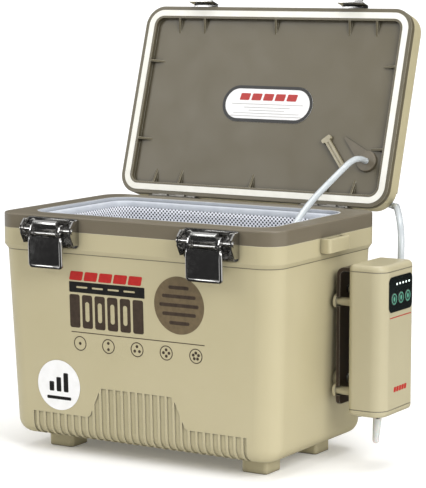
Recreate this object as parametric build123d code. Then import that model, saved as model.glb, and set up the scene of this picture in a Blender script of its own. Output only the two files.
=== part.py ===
"""Insulated live-bait box with a hinged lid, draw latches and a clip-on air pump.

Millimetres. +X is the box's right-hand end, +Y its back, +Z up. The origin is on the floor under
the middle of the box. The lid is drawn shut and then swung open to its stop.
"""
from build123d import *
from math import radians, tan
import os

# ---------------------------------------------------------------- driving dimensions
# Box
BOX_WIDTH = 300.0
BOX_DEPTH = 194.0
RIM_Z = 224.0
FOOT_HEIGHT = 15.5
CORNER_RADIUS = 20.0
FLOOR_ROUNDING = 14.0
SIDE_DRAFT = 0.038            # millimetres of inset for each millimetre down
RIM_BAND = 13.6               # height of the rim collar
LEDGE_DROP = 34.0             # rim to the foot of the ledge
LEDGE_RISE = 4.5
LEDGE_INSET = 2.4
SHELL_WALL = 3.2
FOOT_WIDTH = 27.0
FOOT_X = 105.5
FOOT_Y = 46.0
FOOT_CORNER = 4.0
FOOT_ROUNDING = 1.5
RIM_ROUNDING = 1.5
FIT = 0.05                    # radial clearance of every screw, pin and tube in its hole
GAP = 0.3                     # clearance between pieces that pass each other

# Ribbed front panel
PANEL_HALF_WIDTH = 115.0
PANEL_LOW_TOP = 39.0
PANEL_HIGH_TOP = 67.5
PANEL_HIGH_HALF_FOOT = 52.0
PANEL_HIGH_HALF_TOP = 39.0
PANEL_RECESS = 1.2
PANEL_ROUNDING = 5.0
PANEL_REACH = 16.0            # how far the panel runs in under the box
RIB_PITCH = 7.9
RIB_WIDTH = 2.5

# Side strap lugs
LUG_LENGTH = 39.0
LUG_HEIGHT = 13.0
LUG_REACH = 10.0
LUG_TOP_DROP = 14.0
LUG_RADIUS = 3.0
STRAP_SLOT = 5.0
STRAP_WIDTH = 31.0
STRAP_WALL = 1.2              # lug left between the slot and the box

# Liner and bag
LINER_TOP_WALL = 23.0         # outside of the box to the inside of the liner at the rim
LINER_WALL = 2.0
LINER_FLOOR_Z = 36.0
LINER_STEP = 3.0
LINER_STEP_DROP = 12.0
LINER_DRAFT = 0.02
LINER_ROUNDING = 12.0
LINER_CORNER = 18.0
BAG_WALL = 1.0
BAG_STAND_OFF = 1.0
BAG_CORNER = 17.0
HEM_CORNER = 20.0
HOOP_CORNER = 18.5
HEM_HEIGHT = 8.0
HEM_DROP = 3.0
HOOP_RADIUS = 0.9

# Lid
LID_SEAT_GAP = 0.6
LID_SKIRT = 6.0
LID_SHELL = 18.0
LID_WALL = 3.0
LID_EDGE_ROUNDING = 4.0
LID_STEP_DEPTH = 5.0
LID_STEP_LENGTH = 19.0
LID_OPEN = 107.5
PANEL_RING = 12.0             # width of the lid's underside ring
PANEL_PLATE = 2.6
PANEL_SINK = 5.0
GASKET_INSET = 3.8
GASKET_WIDTH = 6.0
GASKET_DEPTH = 2.7
GUSSET_LENGTH = 15.0
GUSSET_WIDTH = 2.2
GUSSET_DROP = 0.4             # the lid's underside to the rib's top corner
GUSSET_FRONT_X = (-111.5, -82.0, 0.0, 82.0, 111.5)
GUSSET_SIDE_Y = (-40.4, 40.4)
GUSSET_BITE = 0.5             # how far a rib runs into the ring and the plate
LABEL_LENGTH = 101.0
LABEL_WIDTH = 36.4
LABEL_X = 3.0
LABEL_THICKNESS = 0.4
STICKER_RADIUS = 23.6
STICKER_X = -85.0
STICKER_Z = 66.0

# Hinges
HINGE_X = 85.0
HINGE_LENGTH = 50.0
HINGE_SEGMENTS = 5
HINGE_SETBACK = 5.6           # behind the rear wall
HINGE_DROP = 3.4              # under the rim
HINGE_KNUCKLE = 3.6
HINGE_PIN = 1.5
LEAF = 2.0
LEAF_DOWN = 26.0
LEAF_UP = 18.0
HINGE_SCREW_X = 17.0          # hinge's middle to its screws
HINGE_SCREW_DROP = 20.0
HINGE_SCREW_RISE = 12.5

# Latches, measured forward from the front wall and down from the rim
LATCH_X = 84.5
BASE_WIDTH = 56.0
BASE_TOP = 1.5
BASE_HEIGHT = 26.5
BASE_PLATE = 1.6
BASE_CORNER = 3.0
LATCH_SCREW_X = 21.5          # latch's middle to its screws
LATCH_SCREW_DROPS = (6.0, 22.0)
EAR_REACH = 8.0
EAR_NOSE = 3.2
PIVOT_OUT = 10.0
PIVOT_DROP = 12.0
PIVOT_RADIUS = 1.5
LEVER_WIDTH = 33.0
LEVER_PLATE = 1.4
LEVER_FACE = 15.0
LEVER_TOP = 18.0
LEVER_BOTTOM = 45.5
LINK_OUT = 11.8
LINK_DROP = 15.1
LINK_RADIUS = 1.1
CLAW_WIDTH = 25.6
CLAW_PLATE = 1.2
CLAW_TOP = 4.2
CLAW_BACK = 4.7
CLAW_FACE = 10.5
CLAW_REST_TILT = 30.0
KEEPER_WIDTH = 27.5
KEEPER_PLATE = 1.2
KEEPER_HANG = 9.0
KEEPER_LIP_OUT = 2.6
KEEPER_TIP_OUT = 7.8
KEEPER_HEIGHT = 16.0
KEEPER_TIP_RISE = 3.0
KEEPER_SHELF_RISE = 2.6
KEEPER_SCREW_X = 8.5          # keeper's middle to its screws
KEEPER_SCREW_RISE = 11.0

# Screws: shank radius, head radius, head height, length under the head
LATCH_SCREW = (1.6, 2.8, 1.3, 12.0)
HINGE_SCREW = (1.6, 3.0, 1.4, 10.0)
KEEPER_SCREW = (1.4, 2.4, 1.2, 8.0)
BRACKET_SCREW = (2.2, 4.2, 2.0, 18.0)
CASE_SCREW = (1.2, 2.2, 1.4, 9.0)

# Air pump, on the right-hand end
PUMP_BACK_X = 170.0
PUMP_DEPTH = 36.0
PUMP_Y = 25.25
PUMP_WIDTH = 61.5
PUMP_BOTTOM = 50.0
PUMP_TOP = 187.0
PUMP_CAP = 6.0
PUMP_WALL = 2.4
PUMP_FRONT_RADIUS = 13.0       # corner towards the box's front
PUMP_FAR_RADIUS = 5.5         # corner by the control panel's edge
PUMP_REAR_RADIUS = 6.0
PUMP_CAP_ROUNDING = 4.5
CAP_LIP = 3.0
CAP_LIP_WALL = 1.6
CASE_SCREW_X = 9.0            # pump's middle to its case screws
CASE_SCREW_Y = 21.5
CASE_POST_RADIUS = 3.0
CASE_POST_HEIGHT = 9.0
CONTROL_Y = 28.6
CONTROL_Z = 160.1
CONTROL_WIDTH = 46.2
CONTROL_HEIGHT = 31.8
CONTROL_PLATE = 1.2
CONTROL_SINK = 0.9
CONTROL_CORNER = 5.0
BUTTON_RADIUS = 5.4
BUTTON_PITCH = 13.6
BUTTON_Z = 156.0
BUTTON_TRAVEL = 0.5
BUTTON_HEIGHT = 1.7
BUTTON_STEM = 1.8
LIGHT_RADIUS = 0.95
LIGHT_PITCH = 6.1
LIGHT_Z = 169.0
LIGHT_Y = 32.7
LIGHTS = 5
BOARD_PLATE = 1.6
BOARD_Y = (8.6, 42.6)
BOARD_Z = (132.0, 172.0)
BOARD_POST_RADIUS = 1.6
BOARD_POST_INSET = 2.25
CELL_RADIUS = 6.8
CELL_LENGTH = 50.0
CELL_Y = 14.2
CELL_PITCH = 14.0
CELL_CAP_RADIUS = 2.5
CELL_CAP_HEIGHT = 1.2
TRAY_HEIGHT = 9.0
TRAY_FLOOR = 4.0
TRAY_HALF_DEPTH = 8.5
TRAY_CORNER = 6.0
MOTOR_RADIUS = 10.0
MOTOR_LENGTH = 26.0
MOTOR_Y = 36.0
MOTOR_SHAFT = 1.0
MOTOR_SHAFT_LENGTH = 8.0
MOTOR_BOSS = (3.0, 1.5)       # radius and height
MOTOR_FLOOR = 5.0
MOUNT_HALF_WIDTH = 8.0
MOUNT_HALF_DEPTH = 11.0
MOUNT_GRIP = 8.0              # height of the motor that the mount holds
CRANK_RADIUS = 6.0
CRANK_HEIGHT = 4.0
CRANK_THROW = 2.5
CRANK_PIN = (1.0, 5.0)        # radius and height
CRANK_TO_HEAD = 4.0
HEAD_SIZE = 26.0
HEAD_HEIGHT = 18.0
DIAPHRAGM = 2.0
DIAPHRAGM_STEM = (3.0, 3.4)   # radius and height
HEAD_NIPPLE = 6.0
HEAD_ARM_HALF = 6.0
HEAD_ARM_Z = (4.0, 12.0)      # above the head's foot

# Pump bracket
BRACKET_OUT = 2.0             # gap from the rim's outside to the plate
BRACKET_PLATE = 3.5
BRACKET_WIDTH = 34.0
BRACKET_BOTTOM = 56.0
BRACKET_TOP = 182.0
BRACKET_BOSS = 7.0
BRACKET_SCREW_Z = (78.0, 160.0)
BRACKET_CURL = 9.0
PEG_Z = (68.7, 150.4)
PEG_RADIUS = 3.8
PEG_HEAD = 6.2
PEG_HEAD_LENGTH = 2.4
PEG_INSET = 4.0               # bracket edge to peg centre

# Air line
HOSE_RADIUS = 3.0
TUBE_BORE = 2.0
GROMMET_X = 121.0
GROMMET_Y = 52.0
GROMMET_STEM = 6.8
GROMMET_INNER_FLANGE = 10.2
GROMMET_OUTER_FLANGE = 9.4
GROMMET_FLANGE = 2.6
HOSE_SEAT = 0.05
OUTER_LEAD = 15.5
INNER_LEAD = 13.0
TETHER_LENGTH = 27.0
TETHER_THICKNESS = 1.4
OUTLET_Y_OUT = 10.0           # hose centre behind the pump's side
OUTLET_X = 187.5
OUTLET_Z = 169.0
OUTLET_TOP = 178.0
ELBOW_RADIUS = 3.6
ELBOW_BORE = 1.4
ELBOW_COLLAR = (5.0, 2.0)     # radius and length
SPOUT_RADIUS = 4.2
SPOUT_TIP = 2.9
SPOUT_BOTTOM = 22.0
SPOUT_INSET = 20.5            # behind the pump's outer face
SPOUT_LEAN = (-0.2, -3.0)     # how far its tip stands off to the side and the front
SPOUT_COLLAR = (5.8, 1.8)     # radius and height
STONE_RADIUS = 7.5
STONE_LENGTH = 30.0
STONE_STUB = 6.0
STONE_X = 46.0
STONE_Y = -40.0
STONE_ROUNDING = 1.5

# Port plug, lying on the lid's panel
PLUG_PLACE = (97.0, 59.0)
PLUG_DIRECTION = (-0.63, -0.77, 0)
PLUG_HEIGHT = 3.4
PLUG_BAR = (34.0, 5.4, 1.2)   # length, width, corner
PLUG_HEAD = (4.4, 10.5, 1.6)
PLUG_GROOVE = (28.0, 1.2, 1.6)

# ---------------------------------------------------------------- worked out from them
HALF_WIDTH = BOX_WIDTH / 2
HALF_DEPTH = BOX_DEPTH / 2
FRONT_Y = -HALF_DEPTH
BAND_TOP = RIM_Z - RIM_BAND
LEDGE_LOW = RIM_Z - LEDGE_DROP
LID_Z = RIM_Z + LID_SEAT_GAP
LID_SHELL_Z = LID_Z + LID_SKIRT
LID_TOP = LID_SHELL_Z + LID_SHELL
PLATE_Z = LID_Z + PANEL_SINK
HINGE_Y = HALF_DEPTH + HINGE_SETBACK
HINGE_Z = RIM_Z - HINGE_DROP
PUMP_FRONT_X = PUMP_BACK_X + PUMP_DEPTH
PUMP_X = PUMP_BACK_X + PUMP_DEPTH / 2
BRACKET_X = HALF_WIDTH + BRACKET_OUT
SIDES = (("left", -1), ("right", 1))

os.makedirs("parts", exist_ok=True)


def save(name, shape):
    """Write one node's solids."""
    export_step(shape, f"parts/{name}.step")


# ---------------------------------------------------------------- shared shapes
def block(x_range, y_range, z_range):
    """A box between two limits on each axis."""
    size = [high - low for low, high in (x_range, y_range, z_range)]
    centre = [(high + low) / 2 for low, high in (x_range, y_range, z_range)]
    return Pos(*centre) * Box(*size)


def rod(start, direction, radius, length, tip_radius=None):
    """A round bar, or a cone where it has a tip radius, from start along direction."""
    plane = Plane(origin=start, z_dir=direction)
    if tip_radius is None:
        return plane * extrude(Circle(radius), length)
    return plane * loft([Circle(radius), Pos(0, 0, length) * Circle(tip_radius)], ruled=True)


def slab(inset, z_low, z_high, radius=CORNER_RADIUS):
    """The box's plan outline, drawn in by inset, between two heights."""
    outline = RectangleRounded(BOX_WIDTH - 2 * inset, BOX_DEPTH - 2 * inset, radius - inset)
    return Pos(0, 0, z_low) * extrude(outline, z_high - z_low)


def tub(levels, rounding):
    """A stack of rounded rectangles (inset, radius, height), with its floor edge rounded."""
    outlines = [
        Pos(0, 0, z) * RectangleRounded(BOX_WIDTH - 2 * inset, BOX_DEPTH - 2 * inset, radius)
        for inset, radius, z in levels
    ]
    body = loft(outlines, ruled=True)
    return fillet(body.edges().group_by(Axis.Z)[0], rounding)


def screw(seat, direction, kind):
    """A pan-head screw: its head stands out of the seat and its shank goes in along direction."""
    shank, head, head_height, length = kind
    out = [-value for value in direction]
    head_body = rod(seat, out, head, head_height)
    head_body = fillet(head_body.edges().sort_by_distance(seat)[-1], head_height * 0.45)
    return head_body + rod(seat, direction, shank, length)


def screw_hole(seat, direction, kind):
    """The clearance hole of a screw, running past both ends of its shank."""
    start = [place - 4 * step for place, step in zip(seat, direction)]
    return rod(start, direction, kind[0] + FIT, kind[3] + 4 + GAP)


def opened(shape):
    """Swing a shape that is drawn on the shut lid to where it stands on the open lid."""
    return shape.rotate(Axis((0, HINGE_Y, HINGE_Z), (-1, 0, 0)), LID_OPEN)


# ---------------------------------------------------------------- box
def outer_body(inset):
    """The outside of the box below the collar, drawn in by inset."""
    floor = FOOT_HEIGHT + inset
    foot_inset = LEDGE_INSET + SIDE_DRAFT * (LEDGE_LOW - floor) + inset
    radius = CORNER_RADIUS - inset
    levels = (
        (foot_inset, radius, floor),
        (LEDGE_INSET + inset, radius, LEDGE_LOW),
        (inset, radius, LEDGE_LOW + LEDGE_RISE),
        (inset, radius, BAND_TOP),
    )
    return tub(levels, FLOOR_ROUNDING - inset)


def wall_x(z):
    """Distance from the middle to the outside of the end wall, below the ledge."""
    return HALF_WIDTH - LEDGE_INSET - SIDE_DRAFT * (LEDGE_LOW - z)


def panel_grooves():
    """What the ribbed front panel loses: a shallow recess with its ribs left standing."""
    outline = Polyline(
        (-PANEL_HALF_WIDTH, 0),
        (-PANEL_HALF_WIDTH, PANEL_LOW_TOP),
        (-PANEL_HIGH_HALF_FOOT, PANEL_LOW_TOP),
        (-PANEL_HIGH_HALF_TOP, PANEL_HIGH_TOP),
        (PANEL_HIGH_HALF_TOP, PANEL_HIGH_TOP),
        (PANEL_HIGH_HALF_FOOT, PANEL_LOW_TOP),
        (PANEL_HALF_WIDTH, PANEL_LOW_TOP),
        (PANEL_HALF_WIDTH, 0),
        close=True,
    )
    face = make_face(outline)
    high_part = face.vertices().filter_by(lambda corner: corner.Y > 1)
    high_part = high_part.filter_by(lambda corner: abs(corner.X) < PANEL_HALF_WIDTH - 1)
    face = fillet(high_part, PANEL_ROUNDING)
    rear = FRONT_Y + LEDGE_INSET + SIDE_DRAFT * (LEDGE_LOW - FOOT_HEIGHT) + PANEL_REACH
    plane = Plane(origin=(0, rear, 0), x_dir=(1, 0, 0), z_dir=(0, -1, 0))
    prism = plane * extrude(face, rear - FRONT_Y + 5)
    recess = prism - outer_body(PANEL_RECESS)
    count = int((2 * PANEL_HALF_WIDTH - RIB_WIDTH) / RIB_PITCH)
    first = -count * RIB_PITCH / 2
    ribs = [
        block(
            (first + i * RIB_PITCH - RIB_WIDTH / 2, first + i * RIB_PITCH + RIB_WIDTH / 2),
            (FRONT_Y - 10, rear + 1),
            (0, PANEL_HIGH_TOP + 5),
        )
        for i in range(count + 1)
    ]
    return recess - ribs


def strap_lug(side):
    """A lug on the flat top of an end wall, with the slot that a webbing strap goes through."""
    top = RIM_Z - LUG_TOP_DROP
    bottom = top - LUG_HEIGHT
    half = LUG_LENGTH / 2
    lug = block((HALF_WIDTH, HALF_WIDTH + LUG_REACH), (-half, half), (bottom, top))
    lug = fillet(lug.edges().filter_by(Axis.Z).group_by(Axis.X)[-1], LUG_RADIUS)
    lug = fillet(lug.faces().sort_by(Axis.X)[-1].edges(), LUG_RADIUS / 3)
    slot = (HALF_WIDTH + STRAP_WALL, HALF_WIDTH + STRAP_WALL + STRAP_SLOT)
    lug -= block(slot, (-STRAP_WIDTH / 2, STRAP_WIDTH / 2), (bottom - 1, top + 1))
    return lug if side > 0 else lug.mirror(Plane.YZ)


def foot(x_sign, y_sign):
    """One moulded foot."""
    outline = RectangleRounded(FOOT_WIDTH, FOOT_WIDTH, FOOT_CORNER)
    body = Pos(FOOT_X * x_sign, FOOT_Y * y_sign, 0) * extrude(outline, FOOT_HEIGHT + 1)
    return fillet(body.edges().group_by(Axis.Z)[0], FOOT_ROUNDING)


def boss(z):
    """A moulded boss that carries the pump bracket off the end wall."""
    start = wall_x(z) - SHELL_WALL / 2
    return rod((start, PUMP_Y, z), (1, 0, 0), BRACKET_BOSS, BRACKET_X - start)


def liner_levels(extra):
    """The liner's inside (extra 0) or outside (extra its wall), from the floor up to the rim."""
    step_z = RIM_Z - LINER_STEP_DROP
    low_inset = LINER_TOP_WALL + LINER_STEP
    floor_z = LINER_FLOOR_Z - extra
    foot_inset = low_inset + LINER_DRAFT * (step_z - floor_z) - extra
    radius = LINER_CORNER + extra
    return (
        (foot_inset, radius, floor_z),
        (low_inset - extra, radius, step_z - extra),
        (LINER_TOP_WALL - extra, radius + LINER_STEP, step_z - extra + 0.01),
        (LINER_TOP_WALL - extra, radius + LINER_STEP, RIM_Z),
    )


def liner_solid(extra):
    return tub(liner_levels(extra), LINER_ROUNDING + extra)


def latch_screw_seats(sign):
    """Where the screws of one latch's base plate sit."""
    y = FRONT_Y - BASE_PLATE
    return [
        (sign * LATCH_X + side * LATCH_SCREW_X, y, RIM_Z - drop)
        for side in (-1, 1)
        for drop in LATCH_SCREW_DROPS
    ]


def seat_pair(middle, spread, y, z):
    """Two seats, left and right of a middle."""
    return [(middle + side * spread, y, z) for side in (-1, 1)]


def hinge_body_seats(sign):
    return seat_pair(sign * HINGE_X, HINGE_SCREW_X, HALF_DEPTH + LEAF, RIM_Z - HINGE_SCREW_DROP)


def hinge_lid_seats(sign):
    return seat_pair(sign * HINGE_X, HINGE_SCREW_X, HALF_DEPTH + LEAF, LID_Z + HINGE_SCREW_RISE)


def keeper_seats(sign):
    return seat_pair(sign * LATCH_X, KEEPER_SCREW_X, FRONT_Y - KEEPER_PLATE, LID_Z + KEEPER_SCREW_RISE)


def bracket_seats():
    return [(BRACKET_X + BRACKET_PLATE, PUMP_Y, z) for z in BRACKET_SCREW_Z]


BACK = (0, 1, 0)
FORTH = (0, -1, 0)
INWARD = (-1, 0, 0)
body_holes = []
lid_holes = []
for _, side_sign in SIDES:
    body_holes += [screw_hole(seat, BACK, LATCH_SCREW) for seat in latch_screw_seats(side_sign)]
    body_holes += [screw_hole(seat, FORTH, HINGE_SCREW) for seat in hinge_body_seats(side_sign)]
    lid_holes += [screw_hole(seat, FORTH, HINGE_SCREW) for seat in hinge_lid_seats(side_sign)]
    lid_holes += [screw_hole(seat, BACK, KEEPER_SCREW) for seat in keeper_seats(side_sign)]
bracket_holes = [screw_hole(seat, INWARD, BRACKET_SCREW) for seat in bracket_seats()]

outer = outer_body(0)
cavity = outer_body(SHELL_WALL)
outer_shell = outer - cavity - block((-200, 200), (-200, 200), (BAND_TOP, BAND_TOP + 10))
outer_shell -= panel_grooves()
outer_shell += [foot(x, y) for x in (-1, 1) for y in (-1, 1)]
outer_shell += [boss(z) for z in BRACKET_SCREW_Z]
outer_shell -= body_holes + bracket_holes
save("outer_shell", outer_shell)
for name, sign in SIDES:
    save(f"strap_lug_{name}", strap_lug(sign))

liner_outside = liner_solid(LINER_WALL)
foam = cavity - liner_outside - body_holes - bracket_holes
save("foam_insulation", foam)
save("inner_liner", liner_outside - liner_solid(0))

collar = slab(0, BAND_TOP, RIM_Z)
collar = fillet(collar.edges().group_by(Axis.Z)[-1], RIM_ROUNDING)
collar -= liner_outside
collar -= body_holes
save("rim_collar", collar)


# ---------------------------------------------------------------- bait bag
def bait_bag():
    """The bag hangs from a hem that stands on the liner's step."""
    step_z = RIM_Z - LINER_STEP_DROP
    low_inset = LINER_TOP_WALL + LINER_STEP + BAG_STAND_OFF
    floor_z = LINER_FLOOR_Z + BAG_STAND_OFF
    foot_inset = low_inset + LINER_DRAFT * (step_z - floor_z)
    hem_top = RIM_Z - HEM_DROP
    rounding = LINER_ROUNDING - BAG_STAND_OFF
    corner = BAG_CORNER
    levels = ((foot_inset, corner, floor_z), (low_inset, corner, hem_top))
    inner = (
        (foot_inset + BAG_WALL, corner - BAG_WALL, floor_z + BAG_WALL),
        (low_inset + BAG_WALL, corner - BAG_WALL, hem_top + 1),
    )
    bag = tub(levels, rounding) - tub(inner, rounding - BAG_WALL)
    hem_inset = LINER_TOP_WALL + GAP
    hem = Pos(0, 0, hem_top - HEM_HEIGHT) * extrude(
        RectangleRounded(BOX_WIDTH - 2 * hem_inset, BOX_DEPTH - 2 * hem_inset, HEM_CORNER)
        - RectangleRounded(
            BOX_WIDTH - 2 * low_inset - BAG_WALL, BOX_DEPTH - 2 * low_inset - BAG_WALL,
            BAG_CORNER - BAG_WALL / 2,
        ),
        HEM_HEIGHT,
    )
    return bag + hem


def hoop(radius):
    """The wire hoop inside the bag's hem."""
    inset = LINER_TOP_WALL + LINER_STEP / 2 + GAP
    width = BOX_WIDTH - 2 * inset
    depth = BOX_DEPTH - 2 * inset
    path = RectangleRounded(width, depth, HOOP_CORNER).wire()
    z = RIM_Z - HEM_DROP - HEM_HEIGHT / 2
    section = Plane(origin=(0, -depth / 2, z), z_dir=(1, 0, 0)) * Circle(radius)
    return sweep(section, path=Pos(0, 0, z) * path)


save("net_bag", bait_bag() - hoop(HOOP_RADIUS + FIT))
save("net_hoop", hoop(HOOP_RADIUS))


def sticker():
    """The round sticker lies flat on the drafted front wall."""
    low = Vector(STICKER_X, FRONT_Y + LEDGE_INSET + SIDE_DRAFT * (LEDGE_LOW - STICKER_Z), STICKER_Z)
    plane = Plane(origin=low, x_dir=(1, 0, 0), z_dir=(0, -1, -SIDE_DRAFT))
    return plane * extrude(Circle(STICKER_RADIUS), LABEL_THICKNESS)


save("round_sticker", sticker())


# ---------------------------------------------------------------- latches
def forward_plane(x):
    """A sketch plane with its x forward from the front wall and its y up from the floor."""
    return Plane(origin=(x, FRONT_Y, 0), x_dir=(0, -1, 0), z_dir=(-1, 0, 0))


def side_plate(points, x, thickness, holes=(), rounding=0.0):
    """A flat plate square to X, centred on x, from points given as (forward, height)."""
    face = make_face(Polyline(*points, close=True))
    if rounding:
        face = fillet(face.vertices(), rounding)
    for (forward, height), radius in holes:
        face -= Pos(forward, height) * Circle(radius)
    return forward_plane(x + thickness / 2) * extrude(face, thickness)


PIVOT = (PIVOT_OUT, RIM_Z - PIVOT_DROP)
LINK = (LINK_OUT, RIM_Z - LINK_DROP)


def latch_base(sign):
    """Base plate with an ear at each end that carries the lever."""
    x = sign * LATCH_X
    top = RIM_Z - BASE_TOP
    bottom = top - BASE_HEIGHT
    half = BASE_WIDTH / 2
    base = block((x - half, x + half), (FRONT_Y - BASE_PLATE, FRONT_Y), (bottom, top))
    base = fillet(base.edges().filter_by(Axis.Y), BASE_CORNER)
    nose = PIVOT[0] + EAR_NOSE
    ear = (
        (0.2, bottom + 3), (EAR_REACH, bottom + 3), (nose, PIVOT[1] - 4),
        (nose, PIVOT[1] + 4), (EAR_REACH, top - 1), (0.2, top - 1),
    )
    for side in (-1, 1):
        ear_x = x + side * (half - BASE_PLATE / 2)
        base += side_plate(ear, ear_x, BASE_PLATE, [(PIVOT, PIVOT_RADIUS + FIT)], 0.15)
    return base - [screw_hole(seat, BACK, LATCH_SCREW) for seat in latch_screw_seats(sign)]


def lever(x):
    """Lever: a face plate with a curled lip, and a flange each side that carries the pins."""
    half = LEVER_WIDTH / 2
    top = RIM_Z - LEVER_TOP
    bottom = RIM_Z - LEVER_BOTTOM
    face = LEVER_FACE
    back = face - LEVER_PLATE
    plate = (
        (back, top), (face, top), (face - 1.0, bottom + 3), (face - 3.0, bottom),
        (face - 6.5, bottom), (face - 6.5, bottom + LEVER_PLATE),
        (face - 3.6, bottom + LEVER_PLATE), (back - 1.0, bottom + 3.6),
    )
    body = side_plate(plate, x, LEVER_WIDTH)
    crown = LINK[1] + 8.2
    flange = (
        (face - 1.2, bottom + 1.2), (face, top), (face, LINK[1] + 2.6), (PIVOT[0] + 3.4, crown - 1.5),
        (PIVOT[0] + 1.0, crown), (PIVOT[0] - 2.2, crown), (PIVOT[0] - 3.6, crown - 2.4),
        (PIVOT[0] - 3.6, PIVOT[1] - 5), (face - 4.5, bottom + 3),
    )
    for side in (-1, 1):
        flange_x = x + side * (half - LEVER_PLATE / 2)
        holes = [(PIVOT, PIVOT_RADIUS + FIT), (LINK, LINK_RADIUS + FIT)]
        body += side_plate(flange, flange_x, LEVER_PLATE, holes, 0.4)
    return body


def pivot_rivet(x, side):
    """A rivet through one ear and the lever's flange beside it."""
    inner = LEVER_WIDTH / 2 - LEVER_PLATE
    start = (x + side * (inner - 0.2), FRONT_Y - PIVOT[0], PIVOT[1])
    out = (side, 0, 0)
    length = BASE_WIDTH / 2 - inner + 0.2
    end = (start[0] + side * length, start[1], start[2])
    return rod(start, out, PIVOT_RADIUS, length) + rod(end, out, PIVOT_RADIUS + 1.1, 1.0)


def link_pin(x):
    """The claw's pin, headed outside each flange of the lever."""
    half = LEVER_WIDTH / 2
    y = FRONT_Y - LINK[0]
    pin = rod((x - half - 0.2, y, LINK[1]), (1, 0, 0), LINK_RADIUS, LEVER_WIDTH + 0.4)
    for side in (-1, 1):
        pin += rod((x + side * half, y, LINK[1]), (side, 0, 0), LINK_RADIUS + 0.9, 0.8)
    return pin


def claw(x):
    """Claw: drawn where it grips the keeper, then tipped out to where it rests."""
    half = CLAW_WIDTH / 2
    top = RIM_Z - CLAW_TOP
    tooth_bottom = RIM_Z - KEEPER_HANG + KEEPER_PLATE + 0.5
    hook = (
        (CLAW_FACE - CLAW_PLATE, LINK[1] + 3.2), (CLAW_FACE, LINK[1] + 3.2), (CLAW_FACE, top - 1.2),
        (CLAW_FACE - 1.2, top), (CLAW_BACK + 1.6, top), (CLAW_BACK, top - 1.6), (CLAW_BACK, tooth_bottom),
        (CLAW_BACK + CLAW_PLATE, tooth_bottom), (CLAW_BACK + CLAW_PLATE, top - 2.1),
        (CLAW_BACK + 2.1, top - CLAW_PLATE), (CLAW_FACE - 1.7, top - CLAW_PLATE),
        (CLAW_FACE - CLAW_PLATE, top - 1.7),
    )
    body = side_plate(hook, x, CLAW_WIDTH)
    arm = (
        (LINK[0] - 2.0, LINK[1] - 1.2), (LINK[0] + 1.0, LINK[1] - 2.0), (LINK[0] + 2.1, LINK[1] - 0.6),
        (LINK[0] + 1.6, LINK[1] + 1.9), (CLAW_FACE, LINK[1] + 6.0), (CLAW_FACE - CLAW_PLATE, LINK[1] + 6.0),
        (CLAW_FACE - CLAW_PLATE - 0.6, LINK[1] + 1.5),
    )
    for side in (-1, 1):
        body += side_plate(arm, x + side * (half - CLAW_PLATE / 2), CLAW_PLATE, [(LINK, LINK_RADIUS + FIT)])
    axis = Axis((x, FRONT_Y - LINK[0], LINK[1]), (1, 0, 0))
    return body.rotate(axis, CLAW_REST_TILT)


def keeper(sign):
    """Keeper on the lid's front edge, with the hanging lip that the claw pulls down on."""
    half = KEEPER_WIDTH / 2
    low = RIM_Z - KEEPER_HANG
    shelf = LID_Z + KEEPER_SHELF_RISE
    top = LID_Z + KEEPER_HEIGHT
    lip_front = KEEPER_LIP_OUT + KEEPER_PLATE
    tip_back = KEEPER_TIP_OUT - KEEPER_PLATE
    tip_top = low + KEEPER_TIP_RISE
    profile = (
        (0, top), (KEEPER_PLATE, top), (KEEPER_PLATE, shelf + KEEPER_PLATE),
        (lip_front, shelf + KEEPER_PLATE), (lip_front, low + KEEPER_PLATE),
        (tip_back, low + KEEPER_PLATE), (tip_back, tip_top), (KEEPER_TIP_OUT, tip_top),
        (KEEPER_TIP_OUT, low), (KEEPER_LIP_OUT, low), (KEEPER_LIP_OUT, shelf), (0, shelf),
    )
    body = side_plate(profile, sign * LATCH_X, KEEPER_WIDTH)
    return opened(body - [screw_hole(seat, BACK, KEEPER_SCREW) for seat in keeper_seats(sign)])


rivets = []
body_screws = []
lid_screws = []
for name, sign in SIDES:
    centre = sign * LATCH_X
    save(f"latch_base_{name}", latch_base(sign))
    save(f"latch_lever_{name}", lever(centre))
    save(f"latch_claw_{name}", claw(centre))
    save(f"claw_pin_{name}", link_pin(centre))
    save(f"keeper_{name}", keeper(sign))
    rivets += [pivot_rivet(centre, side) for side in (-1, 1)]
    body_screws += [screw(seat, BACK, LATCH_SCREW) for seat in latch_screw_seats(sign)]
    lid_screws += [opened(screw(seat, BACK, KEEPER_SCREW)) for seat in keeper_seats(sign)]
save("latch_pivot_rivets", Compound(children=rivets))


# ---------------------------------------------------------------- hinges
def knuckles(x, parity):
    """Every other knuckle of one hinge, with the web that joins it to its leaf."""
    pitch = HINGE_LENGTH / HINGE_SEGMENTS
    pieces = []
    for index in range(parity, HINGE_SEGMENTS, 2):
        low = x - HINGE_LENGTH / 2 + index * pitch + GAP / 2
        high = low + pitch - GAP
        barrel = rod((low, HINGE_Y, HINGE_Z), (1, 0, 0), HINGE_KNUCKLE, high - low)
        if parity == 0:
            web = block((low, high), (HALF_DEPTH, HINGE_Y), (HINGE_Z - HINGE_KNUCKLE - 1, HINGE_Z))
        else:
            web = block((low, high), (HALF_DEPTH + GAP, HINGE_Y), (HINGE_Z, HINGE_Z + HINGE_KNUCKLE + 1))
        pieces.append(barrel + web)
    return pieces


def hinge_bore(x):
    return rod((x - HINGE_LENGTH, HINGE_Y, HINGE_Z), (1, 0, 0), HINGE_PIN + FIT, 2 * HINGE_LENGTH)


def body_leaf(x, sign):
    top = HINGE_Z - HINGE_KNUCKLE - GAP
    half = HINGE_LENGTH / 2
    plate = block((x - half, x + half), (HALF_DEPTH, HALF_DEPTH + LEAF), (RIM_Z - LEAF_DOWN, top))
    plate = plate + knuckles(x, 0)
    return plate - hinge_bore(x) - [screw_hole(seat, FORTH, HINGE_SCREW) for seat in hinge_body_seats(sign)]


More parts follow.
